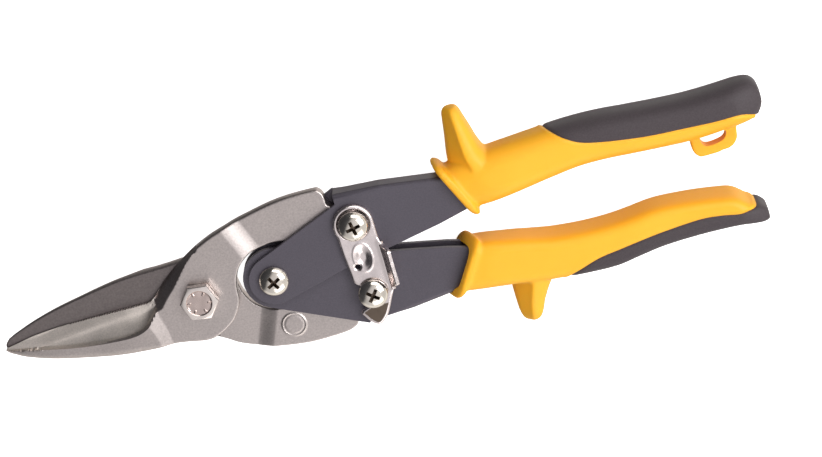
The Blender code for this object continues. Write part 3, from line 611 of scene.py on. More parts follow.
RIM_CURVE = smooth(HOLLOW_RIM, 8)
HOLLOW = np.vstack([RIM_CURVE, [(RIM_CURVE[-1][0], 8.0), (RIM_CURVE[0][0], 8.0)]])
PLATE_CURVE = smooth(PLATE_LINE, 6)


def jaw_height(x, y):
    """The jaw's outer face: a bevel and a hollow below the cutting edge, then the lip outside the rim."""
    thick = at(JAW_THICKNESS, x)
    crease = at(CREASE, x)
    rim = at(HOLLOW_RIM, x)
    to_rim = distance(x, y, RIM_CURVE)
    hollow = inside(x, y, HOLLOW)
    crease_z = 0.18 + 0.36 * thick - 0.5 * step(-26.0, -16.0, x)
    # A bevel drops from the crease to the cutting edge, and a scoop climbs from the crease to the rim's wall
    floor = np.maximum(crease_z - 0.3 * (y - crease), 0.45)
    across = np.clip((crease - y) / np.maximum(crease - rim, 0.05), 0, 1)
    wall_height = np.interp(x, (TIP_X, -50.0, -35.0, -16.0), (0.5, 1.7, 1.1, 0.7))
    scoop = crease_z - 0.025 * thick * step(0, 0.25, across) + (thick - wall_height - crease_z) * across**1.8
    floor = np.where(y < crease, scoop, floor) - 0.07 * np.exp(-(((y - crease) / 0.5) ** 2))
    wall = np.clip(0.16 * (crease - rim) + 0.3, 0.3, 1.1)
    rise = (1 - np.clip(to_rim / wall, 0, 1)) * (1 - step(-1.0, 0.3, y - crease))
    inner = floor + (thick - 0.1 - floor) * rise**1.5
    outer = thick - 0.1 - 0.05 * to_rim
    ceiling = OUTER_Z + FACET_SLOPE * distance(x, y, PLATE_CURVE)
    return np.minimum(np.where(hollow, inner, outer), ceiling)


def blade_heights(back, tang, edge_line, boss):
    """A blade's outline, and the heights of its outer and inner faces."""
    outline, low, high = blade_outline(back, tang, edge_line)
    foot = smooth(FOOT[:-1] + [(-16.4, 1.2)], 8)
    rounded = np.vstack([low, TANG_EYE, high])

    def top(x, y):
        plate = joggled(x, y, OUTER_Z, TANG_HIGH_Z)
        # The plate falls off beside the jaw, more gently near the jaw's root
        to_foot = distance(x, y, foot)
        reach = 0.5 + 2.9 * (1 - step(-9.0, 3.0, x))
        base = 0.9 + 0.65 * (1 - step(1.6, 4.2, y))
        slope = base + (OUTER_Z - base) * np.clip(to_foot / reach, 0, 1) ** 0.8
        slope = slope + 3 * step(1.0, 1.6, to_foot / reach)
        left = x < np.interp(y, PLATE_CURVE[::-1, 1], PLATE_CURVE[::-1, 0])
        z = np.where(left & (x < JAW_ROOT_X), jaw_height(x, y), plate)
        z = np.minimum(z, slope + 5 * (1 - step(-2.6, 0.4, y)))
        # The back is rounder along the jaw than along the plate
        gap = distance(x, y, rounded)
        jaw_side = 1 - step(-24.0, -13.0, x)
        radius = 0.55 + jaw_side * 1.9 * np.clip(at(JAW_THICKNESS, x) / 5.0, 0.25, 1)
        floor = joggled(x, y, INNER_Z, TANG_LOW_Z) + 0.2
        return np.maximum(z - rounding(gap, radius), floor)

    def bottom(x, y):
        z = joggled(x, y, INNER_Z, TANG_LOW_Z, 1.45)
        gap = distance(x, y, rounded)
        z = z + rounding(gap, 0.35)
        if boss:
            r = np.hypot(x - BOSS[0], y - BOSS[1])
            groove = step(2.9, 3.2, r) - step(3.45, 3.75, r)
            z = z - (0.22 * (1 - step(3.9, 4.3, r)) - 0.14 * groove)
        return z

    return outline, top, bottom


def ground_faces(obj, side):
    """Gives the bevel and hollow a ground look, and the flat that slides on the other blade a lapped one."""
    centres = face_centres(obj, side)
    hollow = inside(centres[:, 0], centres[:, 1], HOLLOW)
    for face, (x, _, z), in_hollow in zip(obj.data.polygons, centres, hollow):
        facing = face.normal.z * side[2]
        if facing > 0 and in_hollow and x < GROUND_TO_X and z < GROUND_BELOW_Z:
            face.material_index = 1
        if facing < -0.5 and z < 0.5 and x < LAPPED_TO_X:
            face.material_index = 2


def forging(name, body, node, side, lines, hole_r, boss):
    """A jaw, plate and tang in one piece, from the lines of its back, tang and cutting edge."""
    outline, top, bottom = blade_heights(*lines, boss)
    holes = [arc((0, 0), PIVOT_HOLE_R, 0, 360, 48)[:-1], arc(UPPER_TANG, hole_r, 0, 360, 48)[:-1]]
    guides = [smooth(line, 8) for line in (CREASE, HOLLOW_RIM, PLATE_LINE)]
    if boss:
        guides += [arc(BOSS, r, 0, 360, 60) for r in BOSS_RINGS]
    made = relief(name, outline, holes, top, bottom, BLADE_MESH, side, lines=guides)
    piece(made, body, FORGED, "forged_steel", node)
    made.data.materials.append(GROUND)
    made.data.materials.append(LAPPED)
    ground_faces(made, side)


# ---------------- fasteners


def slot_cutter(centre, top, angle):
    """One tapered bar of a cross recess, longer and wider towards the top."""
    c, s = math.cos(angle), math.sin(angle)
    rings = []
    for z, half_long, half_wide in ((top - 2.2, 0.9, 0.3), (top - 0.6, 2.25, 0.5), (top + 0.4, 2.75, 0.66)):
        corners = [(a * half_long, b * half_wide) for a, b in ((-1, -1), (1, -1), (1, 1), (-1, 1))]
        rings.append([(centre[0] + c * u - s * v, centre[1] + s * u + c * v, z) for u, v in corners])
    return lofted(rings)


SCREW_HEAD_R = 4.9
RECESS_R = 2.7


def screw(name, body, node, centre, turn):
    """A pan-head screw standing on its node's box, with a smooth dome and a cross recess."""
    tip, box_top = z_limits(node)
    top = box_top + 0.06
    seat = top - 2.8
    dome = []
    for degrees in np.linspace(90, 8, 14):
        a = math.radians(degrees)
        dome.append((SCREW_HEAD_R * math.cos(a) ** 0.8, seat + 0.75 + 2.0 * math.sin(a) ** 1.4))
    dome[0] = (0.05, dome[0][1])
    rim = [(SCREW_HEAD_R, seat + 0.7), (SCREW_HEAD_R, seat + 0.2), (SCREW_HEAD_R - 0.2, seat)]
    shank = [(2.0, seat), (2.0, tip + 0.4), (1.6, tip)]
    made = add(name, *spun(centre, dome + rim + shank, 72))
    for angle in (turn, turn + math.pi / 2):
        carve(made, add(name + "_cut", *slot_cutter(centre, top, angle)))
    made.data.set_sharp_from_angle(angle=math.radians(28))
    piece(made, body, NICKEL, "bright_nickel", node)
    made.data.materials.append(RECESS_SHADE)
    dome_r, dome_z = np.array(dome).T
    # Painted shade: the faces down inside the cross recess take the dark nickel
    for face, (x, y, z) in zip(made.data.polygons, face_centres(made)):
        r = math.hypot(x - centre[0], y - centre[1])
        if r < RECESS_R and z < np.interp(r, dome_r, dome_z) - 0.12:
            face.material_index = 1


BOLT_TURN = 52.0
BOLT_STEPS = 144
BOLT_APOTHEM = 5.55
BOLT_R = 3.1
WASHER_R = 5.4
DISH_R = 4.3
LINES_FROM_R = 2.7


def main_bolt():
    """Hex head with a chamfered rim, a dished top and plain radial lines, on a washer face and a shank."""
    tip, top_z = z_limits("pivot_bolt")
    seat = OUTER_Z + 0.3
    turn = np.linspace(0, 2 * math.pi, BOLT_STEPS, endpoint=False)
    from_corner = (turn + math.pi / 6) % (math.pi / 3) - math.pi / 6
    across = BOLT_APOTHEM / np.cos(math.pi / 6 - np.abs(from_corner))
    angle = turn + math.radians(BOLT_TURN)

    def ring(radius, z):
        level = np.broadcast_to(z, turn.shape)
        return np.column_stack([radius * np.cos(angle), radius * np.sin(angle), level])

    chamfer = top_z - 0.25 * np.maximum(across - BOLT_APOTHEM, 0)
    rings = [ring(across - 0.3, seat + 0.9), ring(across, seat + 1.1), ring(across, chamfer - 0.3)]
    rings += [ring(across - 0.14, chamfer - 0.06), ring(BOLT_APOTHEM - 0.3, top_z), ring(DISH_R, top_z)]
    rings += [ring(DISH_R - 0.15, top_z - 0.1), ring(DISH_R - 0.35, top_z - 0.32)]
    for radius in (3.75, 3.5, 3.2, 2.9, 2.6, 2.2, 1.7, 1.2, 0.7):
        ridge = (1 - step(0.2, 0.36, np.abs(from_corner) * radius)) * (radius > LINES_FROM_R)
        dimpled = 0.07 * ripple(radius * np.cos(angle), radius * np.sin(angle), 1.1, 3)
        rings.append(ring(radius, top_z - 0.36 + 0.24 * ridge + dimpled))
    head = add("bolt_head", *lofted(rings), angle=25)
    washer_face = [(5.3, seat + 1.15), (WASHER_R, seat + 1.0), (WASHER_R, seat + 0.1), (5.3, seat)]
    washer = add("bolt_washer_face", *spun((0, 0), washer_face, 72))
    shank = [(BOLT_R, seat + 0.5), (BOLT_R, tip + 3.4)]
    for i in range(5):
        shank += [(BOLT_R, tip + 3.2 - 0.5 * i), (2.85, tip + 2.95 - 0.5 * i)]
    shank += [(2.7, tip + 0.4), (2.4, tip)]
    rod = add("bolt_shank", *spun((0, 0), shank, 48))
    for made, look in ((head, BOLT_RIM), (washer, BOLT_RIM), (rod, BOLT_PLATE)):
        piece(made, "rear_blade", look, "plated_steel", "pivot_bolt")
    head.data.materials.append(BOLT_PLATE)
    for face, (x, y, _) in zip(head.data.polygons, face_centres(head)):
        face.material_index = int(face.normal.z > 0 and math.hypot(x, y) < DISH_R)


def hex_nut(name, body, node, centre, across, bore, look, slot, turn, locking=False):
    """A nut with chamfered corners and a countersunk hole, or a locknut with its plastic ring."""
    z0, z1 = z_limits(node)
    outline = arc(centre, across / math.sqrt(3), turn, turn + 360, 6)[:-1]

    def heights(sign, face):
        def height(x, y):
            r = np.hypot(x - centre[0], y - centre[1])
            drop = np.maximum(r - across * 0.475, 0) * 0.6 + np.maximum(bore + 0.35 - r, 0)
            return face - sign * drop
        return height

    hole = arc(centre, bore, 0, 360, 40)[:-1]
    made = relief(name, outline, [hole], heights(1, z1), heights(-1, z0), 0.4, angle=30)
    piece(made, body, look, slot, node)
    if locking:
        outside = [(bore + 0.02, z0 + 0.9), (4.4, z0 + 0.9), (4.4, z0 + 0.35), (4.1, z0 + 0.12)]
        band = add(name + "_ring", *spun(centre, outside + [(bore + 0.05, z0 + 0.12)], 48))
        piece(band, body, PAD, "dark_pad")


# ---------------- latch

LATCH_LOW = 5.6
LATCH_HIGH = 7.1
TAB_TOP = (CAD_BOX[1][2] - ZERO.z) / MM
TAB_HALF = 0.75  # half the tab's thickness
LATCH_HOLE = (52.6, -2.2)
DIMPLE = (55.1, 0.6)


def from_dimple(x, y):
    """0 at the oval dimple's middle and 1 at its edge."""
    return np.hypot((x - DIMPLE[0]) / 2.7, (y - DIMPLE[1]) / 4.2)


def latch_lever():
    """A stamped lever with an oval dimple, a small hole and a hook."""
    boss = arc(UPPER_TANG, 6.7, -5, 205, 40)
    arm = smooth([(48.9, 8.9), (49.0, 4.0), (49.4, -3.0), (49.6, -6.6), (50.5, -8.2), (51.8, -8.95)], 6)
    floor = arc(LOWER_TANG, 3.0, 90, -72, 20)
    lip = np.array([(53.2, -15.95), (51.0, -16.75), (49.7, -17.3)])
    hook = smooth([
        (49.4, -18.2), (51.0, -20.8), (52.9, -22.8), (54.3, -23.3), (55.8, -22.6), (58.2, -19.8),
        (61.4, -13.6),
    ], 6)
    side = np.array([(61.7, -12.4), (61.9, 3.0), (61.7, 6.0)])
    outline = np.vstack([boss, arm, floor, lip, hook, side])
    hole = arc(LATCH_HOLE, 0.95, 0, 360, 24)[:-1]
    eye = arc(UPPER_TANG, 2.15, 0, 360, 40)[:-1]
    smooth_outline = resampled(outline, 0.3)
    fold = np.array([(61.9, 4.0), (61.9, -12.4)])

    def top(x, y):
        gap = distance(x, y, smooth_outline, True)
        r = np.hypot(x - UPPER_TANG[0], y - UPPER_TANG[1])
        lean = -0.06 + 0.1 * (1 - step(-4.0, 5.0, y))
        z = LATCH_HIGH - 0.02 + 0.02 * (y - 2) + lean * (np.minimum(x, 58.0) - 55.0)
        z = z - 0.25 * (1 - step(4.9, 5.7, r))
        oval = from_dimple(x, y)
        z = z - 0.75 * (1 - step(0.25, 1.0, oval)) + 0.18 * np.exp(-((oval - 1.12) / 0.13) ** 2)
        z = z - 0.3 * (1 - step(0.9, 1.5, np.hypot(x - LATCH_HOLE[0], y - LATCH_HOLE[1])))
        up = 1 - step(0.0, 2.2, distance(x, y, fold))
        z = z + 0.25 * up
        return z - rounding(gap, 0.9) * (1 - up) - rounding(gap, 0.3) * up

    def bottom(x, y):
        gap = distance(x, y, smooth_outline, True)
        return LATCH_LOW + rounding(gap, 0.2) - 0.12 * (1 - step(0.3, 1.0, from_dimple(x, y)))

    guides = [arc(DIMPLE, 2.0, 0, 360, 40), arc(UPPER_TANG, 5.3, 0, 360, 60)]
    plate = relief("latch_lever", outline, [hole, eye], top, bottom, 0.24, lines=guides)
    piece(plate, "latch", PLATED, "plated_steel", "latch_plate")
    plate.data.materials.append(RECESS_SHADE)
    centres = face_centres(plate)
    # Painted shade: the flat inside of the hook takes the dark nickel where shade falls
    hook_shade_faces = (centres[:, 1] < -16.5) & (distance(centres[:, 0], centres[:, 1], smooth_outline, True) > 0.9)
    for face, dark in zip(plate.data.polygons, hook_shade_faces):
        face.material_index = int(dark and face.normal.z > 0.5)


def latch_tab():
    """The lever's thumb tab: a strip that bends up along the fold and leans outwards, its corners rounded."""
    bend = [(59.9, -0.45), (60.9, -0.25), (61.6, 0.15), (62.1, 0.8), (62.5, 1.6), (63.3, 3.4), (64.0, 5.0)]
    spine = smooth([(x, z + LATCH_HIGH - TAB_HALF) for x, z in bend], 5)
    ahead = np.gradient(spine, axis=0)
    normal = np.column_stack([-ahead[:, 1], ahead[:, 0]])
    normal /= np.linalg.norm(normal, axis=1)[:, None]
    rows = []
    ys = np.concatenate([np.linspace(4.2, 1.4, 12), np.linspace(1.0, -9.4, 10), np.linspace(-9.8, -12.4, 12)])
    for y in ys:
        inset = max(0.0, (y - 1.4) / 2.0, (-9.6 - y) / 2.0)
        reach = 1.0 - 0.5 * min(1.0, inset) ** 2
        last = reach * (len(spine) - 1)
        index = np.linspace(0, last, len(spine))
        sx, sz, nx, nz = [np.interp(index, range(len(spine)), part) for part in (*spine.T, *normal.T)]
        sz = sz - 0.6 * max(0.0, y - 3.2)
        end = np.clip((last - index) / 1.2, 0, 1)
        half = TAB_HALF * (0.72 + 0.28 * np.sqrt(1 - (1 - end) ** 2))
        under = np.column_stack([sx - nx * half, np.full(len(sx), y), sz - nz * half])
        over = np.column_stack([sx + nx * half, np.full(len(sx), y), sz + nz * half])
        rows.append(np.vstack([under, over[::-1]]))
    points, faces = lofted(rows)
    points[:, 2] = np.minimum(points[:, 2], TAB_TOP)
    tab = add("latch_tab", points, faces, angle=50)
    piece(tab, "latch", PLATED, "plated_steel")


# ---------------- grips

# Stations are x, inner y and outer y. A pad's edge is (x, y) on the middle plane. A horn, the thumb guard,
# is y, x from, x to and half its thickness. A rim is x, inner y, outer y, and its lean along y and along z.
HALF_Z = 9.0
UPPER_GRIP = {
    "stations": [
        (89.6, 6.0, 21.7), (94.0, 6.2, 22.4), (104.0, 7.4, 23.9), (112.0, 8.5, 24.7), (121.0, 9.8, 25.5),
        (130.0, 11.0, 26.0), (139.0, 11.1, 25.9), (148.0, 10.6, 25.2), (158.0, 10.1, 24.5),
        (168.0, 9.9, 24.1), (178.0, 10.6, 24.4), (184.5, 11.2, 24.9), (188.3, 12.2, 24.6),
        (190.2, 14.7, 23.0), (190.9, 16.6, 21.0),
    ],
    "pad_edge": [
        (115.8, 33.0), (121.4, 26.4), (126.0, 22.2), (130.5, 19.8), (138.1, 18.1), (150.0, 16.5),
        (160.7, 15.9), (172.6, 15.4), (180.5, 15.4), (185.5, 13.8), (188.6, 11.6), (196.0, 4.0),
    ],
    "pad_slant": 0.25,
    "horn": [
        (8.0, 95.0, 101.0, 7.4), (15.0, 92.0, 104.0, 8.3), (20.5, 89.6, 103.6, 8.8), (24.0, 89.3, 101.8, 8.6),
        (27.5, 89.8, 100.4, 8.0), (32.0, 90.5, 99.2, 7.1), (36.0, 91.0, 98.0, 6.1), (38.9, 91.5, 97.2, 4.6),
        (40.2, 92.6, 96.2, 3.0),
    ],
    "rim": (87.9, 4.5, 23.5, -0.47, 0.12),
    "bead": 1.6,
    "neck": 1.5,
    "power": 3.0,
}
LOWER_GRIP = {
    "stations": [
        (84.0, 4.4, 19.9), (90.0, 4.8, 20.5), (97.0, 5.9, 21.2), (103.5, 6.9, 22.0), (110.0, 8.1, 23.0),
        (117.0, 9.2, 23.6), (126.0, 9.9, 24.1), (134.0, 9.9, 24.1), (141.0, 9.3, 22.9), (150.0, 8.3, 21.5),
        (161.0, 8.9, 20.9), (170.0, 10.1, 20.9), (175.5, 11.4, 21.2), (179.6, 14.6, 21.9),
        (182.9, 16.4, 22.4), (184.8, 18.2, 22.0),
    ],
    "pad_edge": [
        (110.2, 29.2), (113.5, 26.2), (119.3, 22.6), (127.7, 19.4), (136.0, 18.0), (149.1, 16.1),
        (162.5, 15.0), (170.0, 15.6), (175.4, 16.6), (179.0, 16.4), (181.4, 15.9), (183.8, 14.7),
        (187.5, 11.5),
    ],
    "pad_slant": 0.0,
    "horn": [
        (15.0, 98.0, 113.5, 7.6), (20.0, 97.4, 115.0, 7.9), (22.6, 98.4, 112.9, 7.8),
        (26.3, 98.5, 110.4, 7.2), (30.0, 98.6, 108.3, 6.1), (33.2, 98.8, 107.0, 5.4),
        (35.5, 99.4, 105.8, 4.3), (36.5, 100.5, 104.6, 2.8),
    ],
    "rim": (83.3, 3.2, 21.6, -0.6, 0.33),
    "bead": 1.35,
    "neck": 0.7,
    "power": 4.6,
}


def section(half_y, half_z, power, count):
    """A rounded box's section, squarer with a higher power."""
    turn = 2 * np.pi * (np.arange(count) + 0.5) / count
    c, s = np.cos(turn), np.sin(turn)
    y = half_y * np.sign(c) * np.abs(c) ** (2 / power)
    z = half_z * np.sign(s) * np.abs(s) ** (2 / power)
    return y, np.clip(z, -HALF_Z, HALF_Z)


def grip_rings(form, front):
    """The grip's own rings, slanted near the collar and thinner to the tail."""
    dense = smooth(form["stations"], 8)
    lean, tip_lean = form["rim"][-2:]
    first = dense[0][0]
    end = dense[-1][0]
    rings = []
    for x, inner, outer in dense:
        share = min(1.0, max(0.0, (end - x) / 12.0))
        half_z = 1.03 * (HALF_Z - 3.5 * (1 - share) ** 2)
        fade = max(0.0, 1 - (x - first) / 30.0)
        neck = form["neck"] * math.exp(-(((x - first) / 7.0) ** 2))
        y, z = section((outer - inner) / 2 - 0.25 * neck, half_z - neck, form["power"], 72)
        slant = fade * (lean * y + tip_lean * front * z)
        rings.append(np.column_stack([x + slant, (inner + outer) / 2 + y, z]))
    return rings


def horn_rings(form, front, count=48):
    """The guard's rings, its side towards the jaws slanted so that it narrows to the front."""
    rings = []
    for y, x_from, x_to, half_z in smooth(form["horn"], 6):
        a, b = section((x_to - x_from) / 2, half_z, 3.0, count)
        half_x = 0.5 * (x_to - x_from)
        slant = half_x * np.clip(-a / half_x, 0, 1) * np.clip(b * front / half_z, 0, 1)
        rings.append(np.column_stack([(x_from + x_to) / 2 + a + slant, np.full(count, y), b]))
    return rings


def rim_rings(form, front):
    """The rolled bead round the collar's mouth."""
    x0, inner, outer, lean, tip_lean = form["rim"]
    rings = []
    for angle in np.linspace(-90, 90, 13):
        shift = form["bead"] * (1 + math.sin(math.radians(angle)))
        grow = form["bead"] * (math.cos(math.radians(angle)) - 1.0) + 0.25
        y, z = section((outer - inner) / 2 + grow, 1.03 * HALF_Z + grow, 4.2, 72)
        slanted = x0 + shift + lean * y + tip_lean * front * z
        rings.append(np.column_stack([slanted, (inner + outer) / 2 + y, z]))
    return rings


VOXEL = 0.5
LOOP = [
    (165.9, 13.6), (165.9, 6.4), (166.9, 4.2), (169.0, 3.0), (177.2, 3.7), (179.8, 5.0), (181.0, 7.4),
    (181.6, 13.6),
]
LOOP_HOLE = [
    (169.2, 8.2), (170.0, 6.7), (171.8, 6.2), (175.6, 6.8), (177.2, 8.0), (177.6, 9.9), (175.0, 10.4),
    (171.5, 10.1), (169.2, 9.7),
]


def joined(parts):
    """Several closed shapes as one list of points and faces."""
    points = []
    faces = []
    for pts, fcs in parts:
        base = len(points)
        points += [tuple(p) for p in pts]
        faces += [tuple(i + base for i in f) for f in fcs]
    return points, faces


def slab(outline, low, high):
    """A plain prism."""
    n = len(outline)
    points = [(x, y, low) for x, y in outline] + [(x, y, high) for x, y in outline]
    faces = [tuple(range(n - 1, -1, -1)), tuple(range(n, 2 * n))]
    return points, faces + ring_faces(2, n)


def pad_gap(form, points):
    """Signed distance to the pad's edge surface, positive on the pad's side."""
    edge = smooth(form["pad_edge"], 10)
    x = points[:, 0] - form["pad_slant"] * points[:, 2]
    y = points[:, 1]
    gap = distance(x, y, edge)
    region = np.vstack([edge, [(215.0, 8.0), (215.0, 50.0), (edge[0][0], 50.0)]])
    return np.where(inside(x, y, region), gap, -gap)


def grip(prefix, body, side, form, with_loop):
    """One smooth moulding from the lofts, parted along the pad's edge with a groove between."""
    front = side[2]
    parts = [lofted(rings(form, front)) for rings in (grip_rings, horn_rings, rim_rings)]
    if with_loop:
        parts.append(slab(resampled(smooth(LOOP, 5), 0.5, False), -2.5, 2.5))
    made = add(prefix, *joined(parts))
    remesh = made.modifiers.new("remesh", "REMESH")
    remesh.mode = "VOXEL"
    remesh.voxel_size = VOXEL * MM
    relax = made.modifiers.new("relax", "SMOOTH")
    relax.factor = 0.6
    relax.iterations = 8
    bake(made)
    if with_loop:
        carve(made, add(prefix + "_hole", *slab(smooth(LOOP_HOLE, 5, closed=True), -6, 6), side))
    carve(made, add(prefix + "_mouth", *mouth_cutter(form, front)))
    part_pad(made, prefix, body, side, form)


def mouth_cutter(form, front):
    """The hollow that the channel goes into, opening at the collar."""
    x0, inner, outer, lean, tip_lean = form["rim"]
    rings = []
    for shift, shrink in ((-3.0, 1.8), (0.4, 2.6), (1.6, 3.2), (8.0, 3.8)):
        y, z = section((outer - inner) / 2 - shrink, HALF_Z - shrink, 4.2, 40)
        slanted = x0 + shift + lean * y + tip_lean * front * z
        rings.append(np.column_stack([slanted, (inner + outer) / 2 + y, z]))
    return lofted(rings)


def rows_of(items, name, kind):
    """Three values of every item, as rows."""
    values = np.empty(3 * len(items), kind)
    items.foreach_get(name, values)
    return values.reshape(-1, 3)


def part_pad(made, prefix, body, side, form):
    """Parts the moulding along the pad's edge: near points are moved onto it, and both sides dip there."""
    mesh = made.data
    mesh.calc_loop_triangles()
    local = (rows_of(mesh.vertices, "co", float) - np.array(ZERO)) / MM
    tris = rows_of(mesh.loop_triangles, "vertices", np.int64)
    gap = pad_gap(form, local)
    ends = np.vstack([tris[:, [0, 1]], tris[:, [1, 2]], tris[:, [2, 0]]])
    crossing = ends[(gap[ends[:, 0]] > 0) != (gap[ends[:, 1]] > 0)]
    moved = {}
    for a, b in crossing.tolist():
        t = gap[a] / (gap[a] - gap[b])
        near, far, share = (a, b, t) if t < 0.5 else (b, a, 1 - t)
        target = local[near] + share * (local[far] - local[near])
        if near not in moved or share < moved[near][0]:
            moved[near] = (share, target)
    for index, (_, target) in moved.items():
        local[index] = target
    gap = pad_gap(form, local)
    gap[list(moved)] = 0.0
    groove = 0.42 * np.exp(-(gap / 0.32) ** 2)
    lip = 0.16 * np.exp(-((gap + 0.95) / 0.45) ** 2)
    proud = 0.10 * step(0.3, 1.2, gap)
    local += rows_of(mesh.vertices, "normal", float) * (lip + proud - groove)[:, None]
    local[:, 2] = np.clip(local[:, 2], BACK_Z, HALF_Z)
    on_pad = gap[tris].sum(1) > 0
    for name, chosen, look, slot, node in (
        (prefix + "_moulding", tris[~on_pad], YELLOW, "yellow_grip", prefix + "_shell"),
        (prefix + "_soft_pad", tris[on_pad], PAD, "dark_pad", prefix + "_pad"),
    ):
        used, faces = np.unique(chosen, return_inverse=True)
        half = add(name, local[used], faces.reshape(-1, 3), side, angle=70)
        piece(half, body, look, slot, node)
    bpy.data.objects.remove(made, do_unlink=True)


# ---------------- spring and small pieces

COIL_R = 4.3
COIL_HALF_H = 0.79
WIRE_R = 0.48
SPRING_LEG = [(49.0, -5.1), (44.0, -5.6), (38.0, -5.9), (33.0, -5.8), (28.5, -5.2)]


def wire_spring():
    """The torsion spring: one and a half turns on the handle pivot with a leg into each handle."""
    turns = arc(HANDLE_PIVOT, COIL_R, -100, 440, 109)
    coil = np.column_stack([turns, np.linspace(-COIL_HALF_H, COIL_HALF_H, len(turns))])
    leg = np.array([(x, y, -COIL_HALF_H) for x, y in SPRING_LEG])
    route = smooth(np.vstack([leg, coil[::4], leg[::-1] * TURNED]), 4)
    ahead = np.gradient(route, axis=0)
    ahead /= np.linalg.norm(ahead, axis=1)[:, None]
    across = np.cross(ahead, (0, 0, 1.0))
    across /= np.linalg.norm(across, axis=1)[:, None]
    lift = np.cross(across, ahead)
    rings = []
    for a in np.linspace(0, 2 * np.pi, 12, endpoint=False):
        rings.append(route + WIRE_R * (np.cos(a) * across + np.sin(a) * lift))
    made = add("torsion_spring", *lofted(list(np.stack(rings, axis=1))))
    made.data.materials.append(SPRING)
    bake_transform(made)
    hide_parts("handle_spring")


def wave_washer():
    """A ring under the latch that rises and falls three times round."""
    z0, z1 = z_limits("latch_wave_washer")
    profile = ((2.15, z0 + 0.2), (4.6, z0 + 0.2), (4.7, z0 + 0.32), (4.6, z1 - 0.2), (2.15, z1 - 0.2))
    steps = 72
    points = []
    for i in range(steps):
        turn = 2 * math.pi * i / steps
        wave = 0.14 * math.sin(3 * turn)
        for r, z in profile:
            points.append((UPPER_TANG[0] + r * math.cos(turn), UPPER_TANG[1] + r * math.sin(turn), z + wave))
    faces = [[i % len(points) for i in face] for face in ring_faces(steps + 1, len(profile))]
    piece(add("wave_washer", points, faces), "upper_handle", SPRING, "spring_steel", "latch_wave_washer")


def cad_looks():
    """Better materials and softened edges for the CAD solids that stay."""
    for node, look, width in (
        ("upper_handle_channel", CHARCOAL, 0.32), ("lower_handle_channel", CHARCOAL, 0.32),
        ("latch_catch_sleeve", PLATED, 0.15), ("spring_bush", SPRING, 0.15),
    ):
        obj = frame["nodes"][node]
        obj.data.materials.clear()
        obj.data.materials.append(look)
        soften(obj, width)


# ---------------- camera, floor and light

CENTRE = Vector((71.99, 3.73, 0.0))
SWING = math.radians(15.3)
TILT = math.radians(18.5)
REACH = 900.0
LENS = 121.8
PALE = (0.86, 0.86, 0.86)


def camera():
    """A long lens above the tool, turned and tilted. Gives the view's right and up."""
    up_plane = Vector((math.sin(SWING), math.cos(SWING), 0))
    back = up_plane * math.sin(TILT) + Vector((0, 0, math.cos(TILT)))
    right = Vector((math.cos(SWING), -math.sin(SWING), 0))
    up = back.cross(right)
    place = ZERO + (CENTRE + REACH * back) * MM
    data = bpy.data.cameras.new("camera")
    data.lens = LENS
    data.sensor_width = 36.0
    data.clip_end = 50.0
    obj = linked("camera", data)
    turn = Matrix((right, up, back)).transposed().to_4x4()
    obj.matrix_world = Matrix.Translation(place) @ turn
    bpy.context.scene.camera = obj
    return right, up


def floor():
    """A white table just under the tool."""
    mesh = bpy.data.meshes.new("floor")
    half = 6.0
    z = CAD_BOX[0][2] - 0.0002
    corners = [(-half, -half, z), (half, -half, z), (half, half, z), (-half, half, z)]
    mesh.from_pydata(corners, [], [(0, 1, 2, 3)])
    obj = linked("floor", mesh)
    white = (1.0, 1.0, 1.0, 1.0)
    mesh.materials.append(material("pale_floor", PALE, 0.9, Emission_Color=white, Emission_Strength=0.9))
    # The table is seen, but the surround below lights the tool in its place
    obj.visible_diffuse = False
    obj.visible_glossy = False


def area_light(name, place, target, size, power, colour):
    """A rectangular light that faces a point."""
    data = bpy.data.lights.new(name, "AREA")
    data.shape = "RECTANGLE"
    data.size, data.size_y = size
    data.energy = power
    data.color = colour
    obj = linked(name, data)
    obj.location = place
    obj.rotation_euler = (target - place).to_track_quat("-Z", "Y").to_euler()
    return obj


def world_ramp(tree, direction, stops):
    """A colour that changes with a direction's part along a given one, from -1 to 1."""
    where = tree.nodes.new("ShaderNodeTexCoord")
    facing = tree.nodes.new("ShaderNodeVectorMath")
    facing.operation = "DOT_PRODUCT"
    facing.inputs[1].default_value = direction.normalized()
    tree.links.new(where.outputs["Generated"], facing.inputs[0])
    scaled = tree.nodes.new("ShaderNodeMapRange")
    scaled.inputs["From Min"].default_value = -1.0
    scaled.inputs["From Max"].default_value = 1.0
    tree.links.new(facing.outputs["Value"], scaled.inputs["Value"])
    return ramp(tree, scaled.outputs["Result"], [((part + 1) / 2, colour) for part, colour in stops])


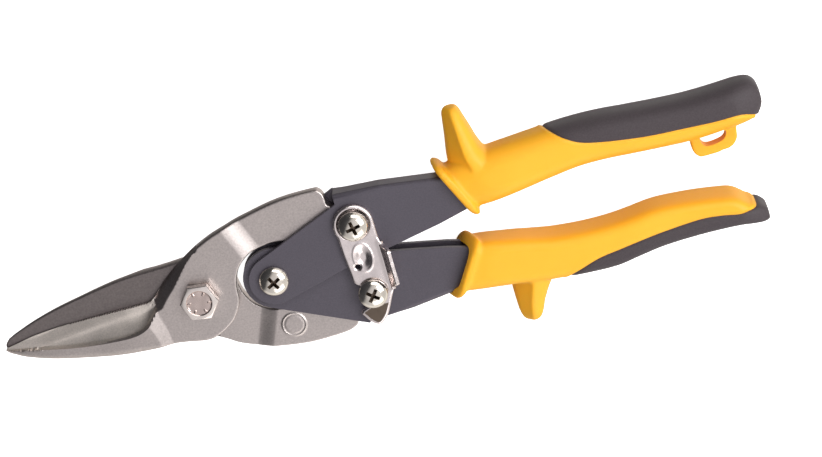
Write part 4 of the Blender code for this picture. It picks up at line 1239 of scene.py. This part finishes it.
def studio(right, up):
    """A pale surround that is dark to the left, with a softbox to the right and three smaller lights."""
    surround = bpy.data.worlds.new("studio")
    bpy.context.scene.world = surround
    surround.use_nodes = True
    tree = surround.node_tree
    level = Vector((0, 0, 1))
    along = (up - level * up.z).normalized()
    sideways = world_ramp(tree, -0.95 * right + 0.30 * along, [
        (-0.95, (1.0, 0.97, 0.93)), (-0.3, (1.0, 0.98, 0.96)), (-0.1, (0.92, 0.90, 0.89)),
        (0.2, (0.74, 0.72, 0.71)), (0.4, (0.09, 0.09, 0.095)), (0.95, (0.05, 0.05, 0.055)),
    ])
    height = world_ramp(tree, level, [
        (-0.95, (0.75, 0.72, 0.69)), (-0.2, (0.62, 0.60, 0.58)), (0.1, (0.86, 0.85, 0.83)),
        (0.25, (0.60, 0.60, 0.60)), (0.75, (0.55, 0.55, 0.56)), (0.9, (0.66, 0.66, 0.67)),
        (0.99, (0.64, 0.64, 0.66)),
    ])
    product = tree.nodes.new("ShaderNodeMix")
    product.data_type = "RGBA"
    product.blend_type = "MULTIPLY"
    product.inputs["Factor"].default_value = 1.0
    colour_inputs = [socket for socket in product.inputs if socket.type == "RGBA"]
    tree.links.new(sideways, colour_inputs[0])
    tree.links.new(height, colour_inputs[1])
    mixed = [socket for socket in product.outputs if socket.type == "RGBA"][0]
    background = tree.nodes["Background"]
    background.inputs["Strength"].default_value = 1.3
    tree.links.new(mixed, background.inputs["Color"])
    centre = ZERO + CENTRE * MM
    lights = {}
    for name, place, size, power, colour in (
        ("softbox", (0.62, 0.28, 0.85), (0.55, 0.6), 7.0, (1.0, 1.0, 1.0)),
        ("back_light", (0.2, 0.9, 0.7), (0.9, 0.5), 3.6, (1.0, 0.98, 0.95)),
        ("side_fill", (-1.0, 0.1, 0.45), (0.5, 0.5), 3.0, (1.0, 0.95, 0.9)),
        ("fill", (0.4, -0.85, 0.7), (0.9, 0.7), 2.5, (1.0, 0.96, 0.92)),
    ):
        offset = place[0] * right + place[1] * along + place[2] * level
        lights[name] = area_light(name, centre + offset, centre, size, power, colour)
    lights["side_fill"].visible_glossy = False


# ---------------- the tool

FRONT_LINES = (FRONT_BACK, FRONT_TANG, FRONT_EDGE)
REAR_LINES = (REAR_BACK, REAR_TANG, REAR_EDGE)
forging("front_blade_forging", "front_blade", "front_blade", UPRIGHT, FRONT_LINES, 2.55, False)
forging("rear_blade_forging", "rear_blade", "rear_blade", TURNED, REAR_LINES, 2.1, True)
main_bolt()
hex_nut("locknut_hex", "rear_blade", "pivot_locknut", (0, 0), 11.1, 3.2, BOLT_PLATE, "plated_steel", 20, True)
SCREWED = (
    ("handle", "lower_handle", "handle_pivot", HANDLE_PIVOT, 0.5),
    ("upper", "upper_handle", "upper_tang", UPPER_TANG, 0.2),
    ("lower", "lower_handle", "lower_tang", LOWER_TANG, 0.9),
)
for name, body, node, centre, turn in SCREWED:
    screw(name + "_screw", body, node + "_screw", centre, turn)
for name, body, node, centre, _ in SCREWED:
    hex_nut(name + "_nut", body, node + "_nut", centre, 7.0, 2.1, NICKEL, "bright_nickel", 0)
latch_lever()
latch_tab()
grip("upper_grip", "upper_handle", UPRIGHT, UPPER_GRIP, True)
grip("lower_grip", "lower_handle", TURNED, LOWER_GRIP, False)
wire_spring()
wave_washer()
cad_looks()

bpy.context.scene.view_settings.view_transform = "Standard"
floor()
studio(*camera())
